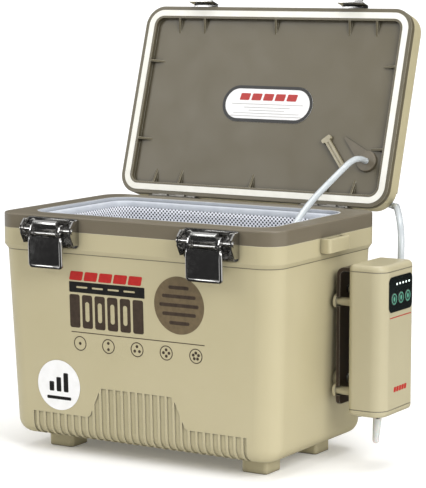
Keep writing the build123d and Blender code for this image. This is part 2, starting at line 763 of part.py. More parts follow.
def lid_leaf(x, sign):
    bottom = HINGE_Z + HINGE_KNUCKLE + GAP
    half = HINGE_LENGTH / 2
    plate = block((x - half, x + half), (HALF_DEPTH, HALF_DEPTH + LEAF), (LID_Z + GAP, LID_Z + LEAF_UP))
    plate += block((x - half, x + half), (HALF_DEPTH + GAP, HALF_DEPTH + LEAF), (bottom, LID_Z + 2 * GAP))
    plate = plate + knuckles(x, 1)
    leaf = plate - hinge_bore(x) - [screw_hole(seat, FORTH, HINGE_SCREW) for seat in hinge_lid_seats(sign)]
    return opened(leaf)


hinge_pins = []
for name, sign in SIDES:
    centre = sign * HINGE_X
    save(f"hinge_body_leaf_{name}", body_leaf(centre, sign))
    save(f"hinge_lid_leaf_{name}", lid_leaf(centre, sign))
    pin_start = (centre - HINGE_LENGTH / 2, HINGE_Y, HINGE_Z)
    hinge_pins.append(rod(pin_start, (1, 0, 0), HINGE_PIN, HINGE_LENGTH))
    body_screws += [screw(seat, FORTH, HINGE_SCREW) for seat in hinge_body_seats(sign)]
    lid_screws += [opened(screw(seat, FORTH, HINGE_SCREW)) for seat in hinge_lid_seats(sign)]
save("hinge_pins", Compound(children=hinge_pins))
save("body_screws", Compound(children=body_screws))
save("lid_screws", Compound(children=lid_screws))


# ---------------------------------------------------------------- lid
def step_cut(lower):
    """The strip along the lid's back that is cut down, lowered further for the inside."""
    front = HALF_DEPTH - LID_STEP_LENGTH - lower
    floor = LID_TOP - LID_STEP_DEPTH - lower
    return block((-HALF_WIDTH - 1, HALF_WIDTH + 1), (front, HALF_DEPTH + 1), (floor, LID_TOP + 1))


grommet_hole = rod((GROMMET_X, GROMMET_Y, RIM_Z - 5), (0, 0, 1), GROMMET_STEM + FIT, 60)
lid_outside = slab(0, LID_SHELL_Z, LID_TOP)
lid_outside = fillet(lid_outside.edges().group_by(Axis.Z)[-1], LID_EDGE_ROUNDING)
lid_outside -= step_cut(0)
lid_inside = slab(LID_WALL, LID_SHELL_Z, LID_TOP - LID_WALL) - step_cut(LID_WALL)
lid_shell = lid_outside - lid_inside - lid_holes - grommet_hole
save("lid_top_shell", opened(lid_shell))

plate_top = PLATE_Z + PANEL_PLATE
foam_block = lid_inside - block((-200, 200), (-200, 200), (LID_SHELL_Z - 1, plate_top))
save("lid_foam", opened(foam_block - lid_holes - grommet_hole))


def gusset(length):
    """A short stiffening rib, from the ring's inner wall at the origin, inward along +X."""
    low = LID_Z + GUSSET_DROP
    high = PLATE_Z + 0.2
    bite = GUSSET_BITE
    face = make_face(Polyline((-bite, low), (bite, low), (length, high), (-bite, high), close=True))
    plane = Plane(origin=(0, GUSSET_WIDTH / 2, 0), x_dir=(1, 0, 0), z_dir=(0, -1, 0))
    return plane * extrude(face, GUSSET_WIDTH)


def gussets():
    ribs = []
    inner_x = HALF_WIDTH - PANEL_RING
    inner_y = HALF_DEPTH - PANEL_RING
    for x in GUSSET_FRONT_X:
        ribs.append(Pos(x, -inner_y, 0) * Rot(0, 0, 90) * gusset(GUSSET_LENGTH))
        ribs.append(Pos(x, inner_y, 0) * Rot(0, 0, -90) * gusset(GUSSET_LENGTH))
    for y in GUSSET_SIDE_Y:
        ribs.append(Pos(-inner_x, y, 0) * gusset(GUSSET_LENGTH))
        ribs.append(Pos(inner_x, y, 0) * Rot(0, 0, 180) * gusset(GUSSET_LENGTH))
    return ribs


def inner_panel():
    ring = slab(0, LID_Z, LID_SHELL_Z) - slab(PANEL_RING, LID_Z - 1, LID_SHELL_Z + 1)
    plate = slab(LID_WALL, PLATE_Z, plate_top) + slab(LID_WALL, LID_SHELL_Z - 1.5, plate_top)
    panel = ring + (plate - slab(PANEL_RING, LID_Z - 1, PLATE_Z)) + gussets()
    panel -= gasket_ring(LID_Z - 1, LID_Z + GASKET_DEPTH)
    return panel - grommet_hole


def gasket_ring(z_low, z_high):
    return slab(GASKET_INSET, z_low, z_high) - slab(GASKET_INSET + GASKET_WIDTH, z_low - 1, z_high + 1)


save("lid_inner_panel", opened(inner_panel()))
gasket = gasket_ring(LID_Z - GAP, LID_Z + GASKET_DEPTH)
save("lid_gasket", opened(gasket))
label = SlotOverall(LABEL_LENGTH, LABEL_WIDTH)
save("lid_label", opened(Pos(LABEL_X, 0, PLATE_Z - LABEL_THICKNESS) * extrude(label, LABEL_THICKNESS)))


def grommet():
    """Rubber grommet through the lid, with the web of its tether tapering off along the panel."""
    low = PLATE_Z - GROMMET_FLANGE
    high = LID_TOP + GROMMET_FLANGE
    inner_flange = rod((GROMMET_X, GROMMET_Y, low), (0, 0, 1), GROMMET_INNER_FLANGE, GROMMET_FLANGE)
    inner_flange = fillet(inner_flange.edges().group_by(Axis.Z)[0], 1.0)
    outer_flange = rod((GROMMET_X, GROMMET_Y, LID_TOP), (0, 0, 1), GROMMET_OUTER_FLANGE, GROMMET_FLANGE)
    outer_flange = fillet(outer_flange.edges().group_by(Axis.Z)[-1], 1.0)
    body = rod((GROMMET_X, GROMMET_Y, low), (0, 0, 1), GROMMET_STEM, high - low)
    body += [inner_flange, outer_flange]
    root = GROMMET_INNER_FLANGE
    web = Pos(GROMMET_X, GROMMET_Y) * make_face(
        Polyline((-1, -root), (-root, -1), (-TETHER_LENGTH, -21), (1 - TETHER_LENGTH, -23), close=True)
    )
    body += Pos(0, 0, PLATE_Z - TETHER_THICKNESS) * extrude(web, TETHER_THICKNESS)
    return body - rod((GROMMET_X, GROMMET_Y, low - 1), (0, 0, 1), HOSE_RADIUS + FIT, high - low + 2)


save("hose_grommet", opened(grommet()))
tube_low = PLATE_Z - GROMMET_FLANGE
tube_length = LID_TOP - PLATE_Z + 2 * GROMMET_FLANGE
through_tube = rod((GROMMET_X, GROMMET_Y, tube_low), (0, 0, 1), HOSE_RADIUS, tube_length)
through_tube -= rod((GROMMET_X, GROMMET_Y, tube_low - 1), (0, 0, 1), TUBE_BORE, tube_length + 2)
save("grommet_tube", opened(through_tube))


def port_plug():
    """T-ended plug that lies on the panel: a bar with a raised rib, and a cross head."""
    place = (*PLUG_PLACE, PLATE_Z - PLUG_HEIGHT)
    plane = Plane(origin=place, x_dir=PLUG_DIRECTION, z_dir=(0, 0, 1))
    middle = PLUG_BAR[0] / 2 - 1
    bar = extrude(Pos(middle, 0) * RectangleRounded(*PLUG_BAR), PLUG_HEIGHT)
    groove = Pos(middle, 0, 0) * Box(*PLUG_GROOVE)
    head = Pos(PLUG_BAR[0], 0, 0) * extrude(RectangleRounded(*PLUG_HEAD), PLUG_HEIGHT)
    return plane * (bar - groove + head)


save("port_plug", opened(port_plug()))


# ---------------------------------------------------------------- air pump
def pump_outline(inset):
    """The pump's plan: one large corner, at the front and away from the box, and three small ones."""
    low_x, high_x = PUMP_BACK_X + inset, PUMP_FRONT_X - inset
    low_y, high_y = PUMP_Y - PUMP_WIDTH / 2 + inset, PUMP_Y + PUMP_WIDTH / 2 - inset
    corners = ((low_x, low_y), (high_x, low_y), (high_x, high_y), (low_x, high_y))
    face = make_face(Polyline(*corners, close=True))
    face = fillet(face.vertices().group_by(Axis.X)[-1].sort_by(Axis.Y)[0], PUMP_FRONT_RADIUS - inset)
    face = fillet(face.vertices().group_by(Axis.X)[-1].sort_by(Axis.Y)[-1], PUMP_FAR_RADIUS - inset)
    rear = face.vertices().group_by(Axis.X)[0]
    return fillet(rear, PUMP_REAR_RADIUS - inset)


def pump_slab(inset, z_low, z_high):
    return Pos(0, 0, z_low) * extrude(pump_outline(inset), z_high - z_low)


HOUSING_LOW = PUMP_BOTTOM + PUMP_CAP
HOUSING_HIGH = PUMP_TOP - PUMP_CAP
CONTROL_BACK_X = PUMP_FRONT_X - CONTROL_SINK
BUTTON_YS = [CONTROL_Y + (i - 1) * BUTTON_PITCH for i in range(3)]
LIGHT_YS = [LIGHT_Y + (i - (LIGHTS - 1) / 2) * LIGHT_PITCH for i in range(LIGHTS)]
PEG_YS = [PUMP_Y + side * (BRACKET_WIDTH / 2 - PEG_INSET) for side in (-1, 1)]
OUTLET_Y = PUMP_Y + PUMP_WIDTH / 2 + OUTLET_Y_OUT
CAP_SCREW_PLACES = [
    (PUMP_X + side_x * CASE_SCREW_X, PUMP_Y + side_y * CASE_SCREW_Y)
    for side_x in (-1, 1)
    for side_y in (-1, 1)
]


def control_blank(x_low, x_high, grow):
    """The control panel's outline, between two X planes."""
    outline = RectangleRounded(
        CONTROL_WIDTH + 2 * grow, CONTROL_HEIGHT + 2 * grow, CONTROL_CORNER + grow
    )
    plane = Plane(origin=(x_low, CONTROL_Y, CONTROL_Z), x_dir=(0, 1, 0), z_dir=(1, 0, 0))
    return plane * extrude(outline, x_high - x_low)


def peg(y, z):
    """A mushroom peg on the pump's back that hooks into the bracket's notch."""
    head_x = BRACKET_X - GAP - PEG_HEAD_LENGTH
    stem = rod((head_x, y, z), (1, 0, 0), PEG_RADIUS, PUMP_BACK_X + 1 - head_x)
    return stem + rod((head_x, y, z), (1, 0, 0), PEG_HEAD, PEG_HEAD_LENGTH)


def pump_housing():
    body = pump_slab(0, HOUSING_LOW, HOUSING_HIGH) - pump_slab(PUMP_WALL, HOUSING_LOW - 1, HOUSING_HIGH + 1)
    body -= control_blank(CONTROL_BACK_X, PUMP_FRONT_X + 1, FIT)
    window = CONTROL_BACK_X - PUMP_WALL - 1
    for y in BUTTON_YS:
        body -= rod((window, y, BUTTON_Z), (1, 0, 0), BUTTON_RADIUS - 1.2, PUMP_WALL + 2)
    body += [peg(y, z) for y in PEG_YS for z in PEG_Z]
    body -= rod((OUTLET_X, OUTLET_Y, OUTLET_Z), FORTH, HOSE_RADIUS + FIT, OUTLET_Y_OUT + PUMP_WALL + 1)
    post_foot = HOUSING_LOW + CAP_LIP + GAP
    for x, y in CAP_SCREW_PLACES:
        post = rod((x, y, post_foot), (0, 0, 1), CASE_POST_RADIUS, CASE_POST_HEIGHT)
        reach_x = PUMP_BACK_X + PUMP_WALL / 2 if x < PUMP_X else PUMP_FRONT_X - PUMP_WALL / 2
        post += block(sorted((x, reach_x)), (y - 1, y + 1), (post_foot, post_foot + CASE_POST_HEIGHT - 1))
        body += post - rod((x, y, HOUSING_LOW), (0, 0, 1), CASE_SCREW[0] + FIT, CASE_SCREW[3])
    return body


def pump_cap(z_low, z_high, outer_face, lip_low, lip_high):
    """A hollow end cap with a lip that fits inside the housing."""
    cap = pump_slab(0, z_low, z_high)
    cap = fillet(cap.edges().group_by(Axis.Z)[outer_face], PUMP_CAP_ROUNDING)
    inside_low = z_low + PUMP_WALL if outer_face == 0 else z_low - 1
    inside_high = z_high + 1 if outer_face == 0 else z_high - PUMP_WALL
    cap -= pump_slab(PUMP_WALL + CAP_LIP_WALL, inside_low, inside_high)
    lip = pump_slab(PUMP_WALL + FIT, lip_low, lip_high)
    return cap + (lip - pump_slab(PUMP_WALL + CAP_LIP_WALL, lip_low - 1, lip_high + 1))


bottom_cap = pump_cap(PUMP_BOTTOM, HOUSING_LOW, 0, HOUSING_LOW - 1, HOUSING_LOW + CAP_LIP)
top_cap = pump_cap(HOUSING_HIGH, PUMP_TOP, -1, HOUSING_HIGH - CAP_LIP, HOUSING_HIGH + 1)
spout_start = (PUMP_FRONT_X - SPOUT_INSET, PUMP_Y + 1, PUMP_BOTTOM)
case_hole = CASE_SCREW[0] + FIT
bottom_cap -= [rod((x, y, PUMP_BOTTOM - 1), (0, 0, 1), case_hole, 30) for x, y in CAP_SCREW_PLACES]
save("pump_housing", pump_housing())
save("pump_bottom_cap", bottom_cap)
save("pump_top_cap", top_cap)
case_screws = [screw((x, y, PUMP_BOTTOM), (0, 0, 1), CASE_SCREW) for x, y in CAP_SCREW_PLACES]
save("pump_case_screws", Compound(children=case_screws))

control_front = CONTROL_BACK_X + CONTROL_PLATE
control_panel = control_blank(CONTROL_BACK_X, control_front, 0)
behind = CONTROL_BACK_X - 1
button_hole = BUTTON_RADIUS + GAP / 2
control_panel -= [rod((behind, y, BUTTON_Z), (1, 0, 0), button_hole, 4) for y in BUTTON_YS]
control_panel -= [rod((behind, y, LIGHT_Z), (1, 0, 0), LIGHT_RADIUS + FIT, 4) for y in LIGHT_YS]
save("control_panel", control_panel)
light_length = CONTROL_PLATE + 0.25
lights = [rod((CONTROL_BACK_X, y, LIGHT_Z), (1, 0, 0), LIGHT_RADIUS, light_length) for y in LIGHT_YS]
save("status_lights", Compound(children=lights))


def press_button(y):
    """A round button whose stem reaches in through the housing to the circuit board."""
    cap_back = CONTROL_BACK_X + BUTTON_TRAVEL + 0.1
    cap = rod((cap_back, y, BUTTON_Z), (1, 0, 0), BUTTON_RADIUS, control_front + 0.3 - cap_back)
    cap = fillet(cap.edges().sort_by(Axis.X)[-1], 0.3)
    return cap + rod((cap_back, y, BUTTON_Z), INWARD, BUTTON_STEM, BUTTON_HEIGHT + PUMP_WALL)


for name, y in zip(("left", "middle", "right"), BUTTON_YS):
    save(f"press_button_{name}", press_button(y))

board_x = CONTROL_BACK_X + BUTTON_TRAVEL + 0.1 - BUTTON_HEIGHT - PUMP_WALL - BUTTON_TRAVEL - 0.2
board = block((board_x - BOARD_PLATE, board_x), BOARD_Y, BOARD_Z)
for y in (BOARD_Y[0] + BOARD_POST_INSET, BOARD_Y[1] - BOARD_POST_INSET):
    for z in (BOARD_Z[0] + BOARD_POST_INSET, BOARD_Z[1] - BOARD_POST_INSET):
        reach = PUMP_FRONT_X - PUMP_WALL - board_x - FIT
        board += rod((board_x, y, z), (1, 0, 0), BOARD_POST_RADIUS, reach)
save("circuit_board", board)

inside_floor = PUMP_BOTTOM + PUMP_WALL
tray_top = inside_floor + TRAY_HEIGHT + TRAY_FLOOR
cell_places = [(PUMP_X + side * CELL_PITCH / 2, CELL_Y) for side in (-1, 1)]
cell_floor = inside_floor + TRAY_FLOOR
tray_half = CELL_PITCH / 2 + CELL_RADIUS - 1.0
tray_y = (CELL_Y - TRAY_HALF_DEPTH, CELL_Y + TRAY_HALF_DEPTH)
tray = block((PUMP_X - tray_half, PUMP_X + tray_half), tray_y, (inside_floor, tray_top))
tray = fillet(tray.edges().filter_by(Axis.Z), TRAY_CORNER)
tray -= [rod((x, y, cell_floor), (0, 0, 1), CELL_RADIUS + FIT, 40) for x, y in cell_places]
cells = []
for x, y in cell_places:
    cell = rod((x, y, cell_floor), (0, 0, 1), CELL_RADIUS, CELL_LENGTH)
    cells.append(cell + rod((x, y, cell_floor + CELL_LENGTH), (0, 0, 1), CELL_CAP_RADIUS, CELL_CAP_HEIGHT))
save("battery_cells", Compound(children=cells))
post_room = CASE_POST_RADIUS + GAP
cap_screw_posts = [rod((x, y, inside_floor - 1), (0, 0, 1), post_room, 25) for x, y in CAP_SCREW_PLACES]
save("battery_tray", tray - cap_screw_posts)

motor_floor = inside_floor + MOTOR_FLOOR
mount = block(
    (PUMP_X - MOUNT_HALF_WIDTH, PUMP_X + MOUNT_HALF_WIDTH),
    (MOTOR_Y - MOUNT_HALF_DEPTH, MOTOR_Y + MOUNT_HALF_DEPTH),
    (inside_floor, motor_floor + MOUNT_GRIP),
)
mount -= rod((PUMP_X, MOTOR_Y, motor_floor), (0, 0, 1), MOTOR_RADIUS + FIT, 40)
mount -= cap_screw_posts
motor_top = motor_floor + MOTOR_LENGTH
motor = rod((PUMP_X, MOTOR_Y, motor_floor), (0, 0, 1), MOTOR_RADIUS, MOTOR_LENGTH)
motor += rod((PUMP_X, MOTOR_Y, motor_top), (0, 0, 1), *MOTOR_BOSS)
motor += rod((PUMP_X, MOTOR_Y, motor_top), (0, 0, 1), MOTOR_SHAFT, MOTOR_SHAFT_LENGTH)
save("motor_mount", mount)
save("pump_motor", motor)
crank_low = motor_top + MOTOR_BOSS[1] + GAP
crank = rod((PUMP_X, MOTOR_Y, crank_low), (0, 0, 1), CRANK_RADIUS, CRANK_HEIGHT)
crank -= rod((PUMP_X, MOTOR_Y, crank_low - 1), (0, 0, 1), MOTOR_SHAFT + FIT, CRANK_HEIGHT + 2)
crank += rod((PUMP_X + CRANK_THROW + 1, MOTOR_Y, crank_low + CRANK_HEIGHT), (0, 0, 1), *CRANK_PIN)
save("motor_crank", crank)

head_low = crank_low + CRANK_HEIGHT + CRANK_PIN[1] + CRANK_TO_HEAD
half_head = HEAD_SIZE / 2
diaphragm = rod((PUMP_X, MOTOR_Y, head_low), (0, 0, 1), half_head - 1.5, DIAPHRAGM)
diaphragm += rod((PUMP_X, MOTOR_Y, head_low), (0, 0, -1), *DIAPHRAGM_STEM)
save("pump_diaphragm", diaphragm)
head_base = head_low + DIAPHRAGM
head = block(
    (PUMP_X - half_head, PUMP_X + half_head), (MOTOR_Y - half_head, MOTOR_Y + half_head),
    (head_base, head_base + HEAD_HEIGHT),
)
head += block(
    (PUMP_BACK_X + PUMP_WALL, PUMP_X), (MOTOR_Y - HEAD_ARM_HALF, MOTOR_Y + HEAD_ARM_HALF),
    [head_base + rise for rise in HEAD_ARM_Z],
)
head += rod((PUMP_X, MOTOR_Y, head_base + HEAD_HEIGHT), (0, 0, 1), TUBE_BORE, HEAD_NIPPLE)
save("pump_head", head)


# ---------------------------------------------------------------- tubes and hoses
def corner_radii(points):
    """The largest arc that fits each corner of a route: 0.45 of its shorter run."""
    radii = []
    for before, corner, after in zip(points, points[1:], points[2:]):
        run_in = Vector(*corner) - Vector(*before)
        run_out = Vector(*after) - Vector(*corner)
        turn = radians(run_in.get_angle(run_out))
        radii.append(0.45 * min(run_in.length, run_out.length) / tan(turn / 2))
    return radii


def hose(name, points, radius, bore=0.0):
    """A tube along straight runs joined by tangent arcs."""
    radii = corner_radii(points)
    path = FilletPolyline(*points, radius=radii)
    start = Plane(origin=points[0], z_dir=path % 0)
    body = sweep(start * Circle(radius), path=path)
    if bore:
        body -= sweep(start * Circle(bore), path=path)
    section = Circle(radius).area - (Circle(bore).area if bore else 0)
    print(name, "length", round(path.length, 1), "smallest bend radius", round(min(radii), 1),
          "volume over section times length", round(body.volume / section / path.length, 4))
    return body


head_top = head_base + HEAD_HEIGHT + HEAD_NIPPLE
inside_route = [
    (PUMP_X, MOTOR_Y, head_top - 5.0),
    (PUMP_X, MOTOR_Y, head_top + 2.0),
    (OUTLET_X - 0.8, MOTOR_Y + 2.0, OUTLET_Z - 18.0),
    (OUTLET_X, MOTOR_Y + 5.0, OUTLET_Z - 4.0),
    (OUTLET_X, MOTOR_Y + 12.0, OUTLET_Z),
    (OUTLET_X, PUMP_Y + PUMP_WIDTH / 2 - PUMP_WALL - 2.0, OUTLET_Z),
]
save("inside_air_tube", hose("inside_air_tube", inside_route, HOSE_RADIUS, TUBE_BORE + FIT))

pump_side = PUMP_Y + PUMP_WIDTH / 2
elbow_stub = rod((OUTLET_X, pump_side - PUMP_WALL - 2.0, OUTLET_Z), BACK, HOSE_RADIUS, PUMP_WALL + 2.0)
elbow = elbow_stub + rod((OUTLET_X, pump_side, OUTLET_Z), BACK, *ELBOW_COLLAR)
elbow += rod((OUTLET_X, pump_side, OUTLET_Z), BACK, ELBOW_RADIUS, OUTLET_Y_OUT)
elbow += Pos(OUTLET_X, OUTLET_Y, OUTLET_Z) * Sphere(ELBOW_RADIUS)
elbow += rod((OUTLET_X, OUTLET_Y, OUTLET_Z), (0, 0, 1), ELBOW_RADIUS, OUTLET_TOP - OUTLET_Z)
elbow -= rod((OUTLET_X, pump_side - 10, OUTLET_Z), BACK, ELBOW_BORE, OUTLET_Y_OUT + 10)
elbow -= rod((OUTLET_X, OUTLET_Y, OUTLET_Z), (0, 0, 1), ELBOW_BORE, 20)
save("outlet_elbow", elbow)

spout_lean = (*SPOUT_LEAN, SPOUT_BOTTOM + SPOUT_TIP + 0.1 - PUMP_BOTTOM)
spout_length = Vector(*spout_lean).length
spout_root = (spout_start[0], spout_start[1], PUMP_BOTTOM - 1.0)
spout_tip = [place + move for place, move in zip(spout_root, spout_lean)]
spout = rod(spout_root, spout_lean, SPOUT_RADIUS, spout_length, SPOUT_TIP)
spout += Pos(*spout_tip) * Sphere(SPOUT_TIP)
spout += rod(spout_start, (0, 0, -1), *SPOUT_COLLAR)
save("intake_spout", spout)


def on_open_lid(point):
    """Where a point of the shut lid is when the lid is open."""
    return tuple(opened(Vertex(*point)).center())


def off_grommet(height):
    """A point on the grommet's own axis, at a height of the shut lid, when the lid is open."""
    return on_open_lid((GROMMET_X, GROMMET_Y, height))


outside_end = off_grommet(LID_TOP + GROMMET_FLANGE + HOSE_SEAT)
outer_route = [
    (OUTLET_X, OUTLET_Y, OUTLET_TOP),
    (OUTLET_X, OUTLET_Y, OUTLET_TOP + 11.0),
    (185.0, 71.7, 204.9),
    (178.6, 81.0, 219.1),
    (163.5, 104.5, 228.5),
    (149.5, 132.0, 223.5),
    (116.2, 146.9, 230.0),
    (91.1, 154.4, 224.2),
    (84.7, 178.5, 224.8),
    (95.2, 193.9, 241.5),
    (113.0, 185.4, 256.9),
    off_grommet(LID_TOP + GROMMET_FLANGE + OUTER_LEAD),
    outside_end,
]
save("air_hose_outer", hose("air_hose_outer", outer_route, HOSE_RADIUS))

bag_floor = LINER_FLOOR_Z + BAG_STAND_OFF + BAG_WALL
stone_z = bag_floor + STONE_RADIUS + GAP
inside_start = off_grommet(PLATE_Z - GROMMET_FLANGE - HOSE_SEAT)
stone_end = (STONE_X + STONE_LENGTH / 2 + STONE_STUB, STONE_Y, stone_z)
inner_route = [
    inside_start,
    off_grommet(PLATE_Z - GROMMET_FLANGE - INNER_LEAD),
    (120.2, 95.0, 269.0),
    (118.5, 77.5, 260.5),
    (116.3, 57.0, 250.5),
    (114.8, 32.0, 239.0),
    (114.9, 4.0, 224.5),
    (113.0, -20.0, 200.0),
    (107.5, -34.0, 168.0),
    (104.0, -41.0, 135.0),
    (103.5, -43.5, 107.0),
    (103.2, -42.6, 84.0),
    (100.8, -41.0, 63.0),
    (88.0, STONE_Y, stone_z),
    stone_end,
]
save("air_hose_inner", hose("air_hose_inner", inner_route, HOSE_RADIUS))

stone = rod((STONE_X - STONE_LENGTH / 2, STONE_Y, stone_z), (1, 0, 0), STONE_RADIUS, STONE_LENGTH)
stone = fillet(stone.edges().filter_by(GeomType.CIRCLE), STONE_ROUNDING)
stone += rod((STONE_X + STONE_LENGTH / 2, STONE_Y, stone_z), (1, 0, 0), HOSE_RADIUS - 0.4, STONE_STUB)
save("air_stone", stone)


# ---------------------------------------------------------------- pump bracket
def bracket():
    """Flat plate on two bosses, with notches for the pump's pegs and a top curled to the pump."""
    low_y, high_y = PUMP_Y - BRACKET_WIDTH / 2, PUMP_Y + BRACKET_WIDTH / 2
    front_x = BRACKET_X + BRACKET_PLATE
    curl_foot = BRACKET_TOP - BRACKET_CURL
    plate = block((BRACKET_X, front_x), (low_y, high_y), (BRACKET_BOTTOM, curl_foot))
    plate = fillet(plate.edges().filter_by(Axis.X).group_by(Axis.Z)[0], 5.0)
    curl = block((BRACKET_X, PUMP_BACK_X - 2.0), (low_y, high_y), (curl_foot - 0.01, BRACKET_TOP))
    outer_edge = curl.edges().filter_by(Axis.Y).group_by(Axis.Z)[-1].sort_by(Axis.X)[0]
    curl = fillet(outer_edge, BRACKET_CURL - 1)
    under = (curl_foot - 1, BRACKET_TOP - BRACKET_PLATE)
    hollow = block((front_x, PUMP_BACK_X + 1), (low_y - 1, high_y + 1), under)
    hollow_edge = hollow.edges().filter_by(Axis.Y).group_by(Axis.Z)[-1].sort_by(Axis.X)[0]
    hollow = fillet(hollow_edge, BRACKET_CURL - 1 - BRACKET_PLATE)
    body = plate + (curl - hollow)
    for y, edge in zip(PEG_YS, (low_y - 1, high_y + 1)):
        for z in PEG_Z:
            reach = PEG_RADIUS + GAP
            body -= rod((BRACKET_X - 1, y, z), (1, 0, 0), reach, BRACKET_PLATE + 2)
            body -= block((BRACKET_X - 1, front_x + 1), sorted((y, edge)), (z - reach, z + reach))
    return body - bracket_holes


save("pump_bracket", bracket())
bracket_screws = [screw(seat, INWARD, BRACKET_SCREW) for seat in bracket_seats()]
save("pump_bracket_screws", Compound(children=bracket_screws))
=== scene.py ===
"""An insulated live-bait box, standing open, with its air pump hung on the right-hand end."""
import bpy
import bmesh
from math import cos, pi, radians, sin
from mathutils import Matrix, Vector


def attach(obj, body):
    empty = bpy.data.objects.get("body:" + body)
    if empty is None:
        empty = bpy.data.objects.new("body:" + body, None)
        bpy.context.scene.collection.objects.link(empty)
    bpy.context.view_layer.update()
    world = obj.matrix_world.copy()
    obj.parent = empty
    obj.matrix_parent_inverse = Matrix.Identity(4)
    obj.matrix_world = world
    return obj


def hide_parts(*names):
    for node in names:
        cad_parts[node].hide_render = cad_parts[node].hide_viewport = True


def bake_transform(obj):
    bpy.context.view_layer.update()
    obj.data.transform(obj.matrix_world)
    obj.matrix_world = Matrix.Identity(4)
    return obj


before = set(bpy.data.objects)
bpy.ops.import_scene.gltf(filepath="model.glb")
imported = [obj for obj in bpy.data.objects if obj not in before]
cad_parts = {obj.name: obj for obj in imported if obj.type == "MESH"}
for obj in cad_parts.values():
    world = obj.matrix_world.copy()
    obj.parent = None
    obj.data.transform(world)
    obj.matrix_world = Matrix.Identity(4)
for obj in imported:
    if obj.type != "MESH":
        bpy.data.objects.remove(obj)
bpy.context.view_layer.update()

# ======================================================================= studio
# A camera on a long lens, a white table that fades into a white room, a big softbox to the right, a
# weaker one to the left and one overhead. Mirrors see a dark room with a bright ceiling and bright
# walls left and right, as polished steel does in a studio.
CAMERA_PLACE = Vector((1.0209, -1.6366, 0.4455))
CAMERA_AIM = Vector((0.02687, 0.0, 0.19499))
CAMERA_LENS_MM = 153.94
SENSOR_MM = 36.0


def in_scene(thing):
    """Put an object into the scene."""
    bpy.context.scene.collection.objects.link(thing)
    return thing


def linear(code):
    """An sRGB hex colour as the linear colour that a shader takes."""
    parts = [int(code[i:i + 2], 16) / 255 for i in (0, 2, 4)]
    return tuple(p / 12.92 if p <= 0.04045 else ((p + 0.055) / 1.055) ** 2.4 for p in parts) + (1.0,)


def add(tree, kind, inputs=None, links=None, **settings):
    """Add a node with its settings, its plain inputs and its links."""
    node = tree.nodes.new(kind)
    for key, value in settings.items():
        setattr(node, key, value)
    for key, value in (inputs or {}).items():
        node.inputs[key].default_value = value
    for key, socket in (links or {}).items():
        tree.links.new(socket, node.inputs[key])
    return node


def facing(place, aim):
    """The turn that points a lamp or a camera from place to aim."""
    return (Vector(aim) - Vector(place)).to_track_quat("-Z", "Y").to_euler()


camera_data = bpy.data.cameras.new("camera")
camera_data.lens = CAMERA_LENS_MM
camera_data.sensor_fit = "VERTICAL"
camera_data.sensor_height = SENSOR_MM
camera_data.clip_end = 20.0
camera = in_scene(bpy.data.objects.new("camera", camera_data))
camera.location = CAMERA_PLACE
camera.rotation_euler = facing(CAMERA_PLACE, CAMERA_AIM)
bpy.context.scene.camera = camera
bpy.context.scene.view_settings.view_transform = "Standard"

world = bpy.data.worlds.new("studio")
world.use_nodes = True
world.node_tree.nodes.clear()
sky = world.node_tree
way = add(sky, "ShaderNodeTexCoord").outputs["Generated"]
heading = add(sky, "ShaderNodeSeparateXYZ", links={0: way}).outputs


def bright_past(axis, dark, bright, level):
    """Light that rises to a level as a direction turns from dark to bright along one axis."""
    return add(sky, "ShaderNodeMapRange", {"From Min": dark, "From Max": bright, "To Max": level},
               {"Value": heading[axis]}, interpolation_type="SMOOTHSTEP").outputs[0]


DARK_WALL = 0.05
SOFT_LIGHT = 0.55
BACKDROP = 1.2
left_wall = bright_past(0, -0.74, -0.86, 1.3)
right_wall = bright_past(0, 0.62, 0.80, 1.2)
ceiling = bright_past(2, 0.28, 0.55, 0.9)
walls = add(sky, "ShaderNodeMath", links={0: left_wall, 1: right_wall}, operation="MAXIMUM").outputs[0]
room = add(sky, "ShaderNodeMath", links={0: walls, 1: ceiling}, operation="MAXIMUM").outputs[0]
room = add(sky, "ShaderNodeMath", {1: DARK_WALL}, {0: room}, operation="MAXIMUM").outputs[0]
mirror_light = add(sky, "ShaderNodeBackground", links={"Strength": room})
soft_light = add(sky, "ShaderNodeBackground", {"Color": (1.0, 0.99, 0.97, 1.0), "Strength": SOFT_LIGHT})
backdrop = add(sky, "ShaderNodeBackground", {"Color": (1.0, 1.0, 1.0, 1.0), "Strength": BACKDROP})
seen = add(sky, "ShaderNodeLightPath").outputs
lit = add(sky, "ShaderNodeMixShader",
          links={0: seen["Is Glossy Ray"], 1: soft_light.outputs[0], 2: mirror_light.outputs[0]})
both = add(sky, "ShaderNodeMixShader",
           links={0: seen["Is Camera Ray"], 1: lit.outputs[0], 2: backdrop.outputs[0]})
add(sky, "ShaderNodeOutputWorld", links={"Surface": both.outputs[0]})
bpy.context.scene.world = world

LIT_PLACE = (0.0, 0.0, 0.15)
for name, place, size, watts in (
    ("right_softbox", (1.9, -0.9, 1.3), 1.3, 42.0),
    ("left_softbox", (-1.6, -2.0, 1.5), 1.2, 20.0),
    ("top_softbox", (0.1, 0.3, 2.4), 1.6, 30.0),
):
    lamp = bpy.data.lights.new(name, "AREA")
    lamp.size = size
    lamp.energy = watts
    holder = in_scene(bpy.data.objects.new(name, lamp))
    holder.location = place
    holder.rotation_euler = facing(place, LIT_PLACE)

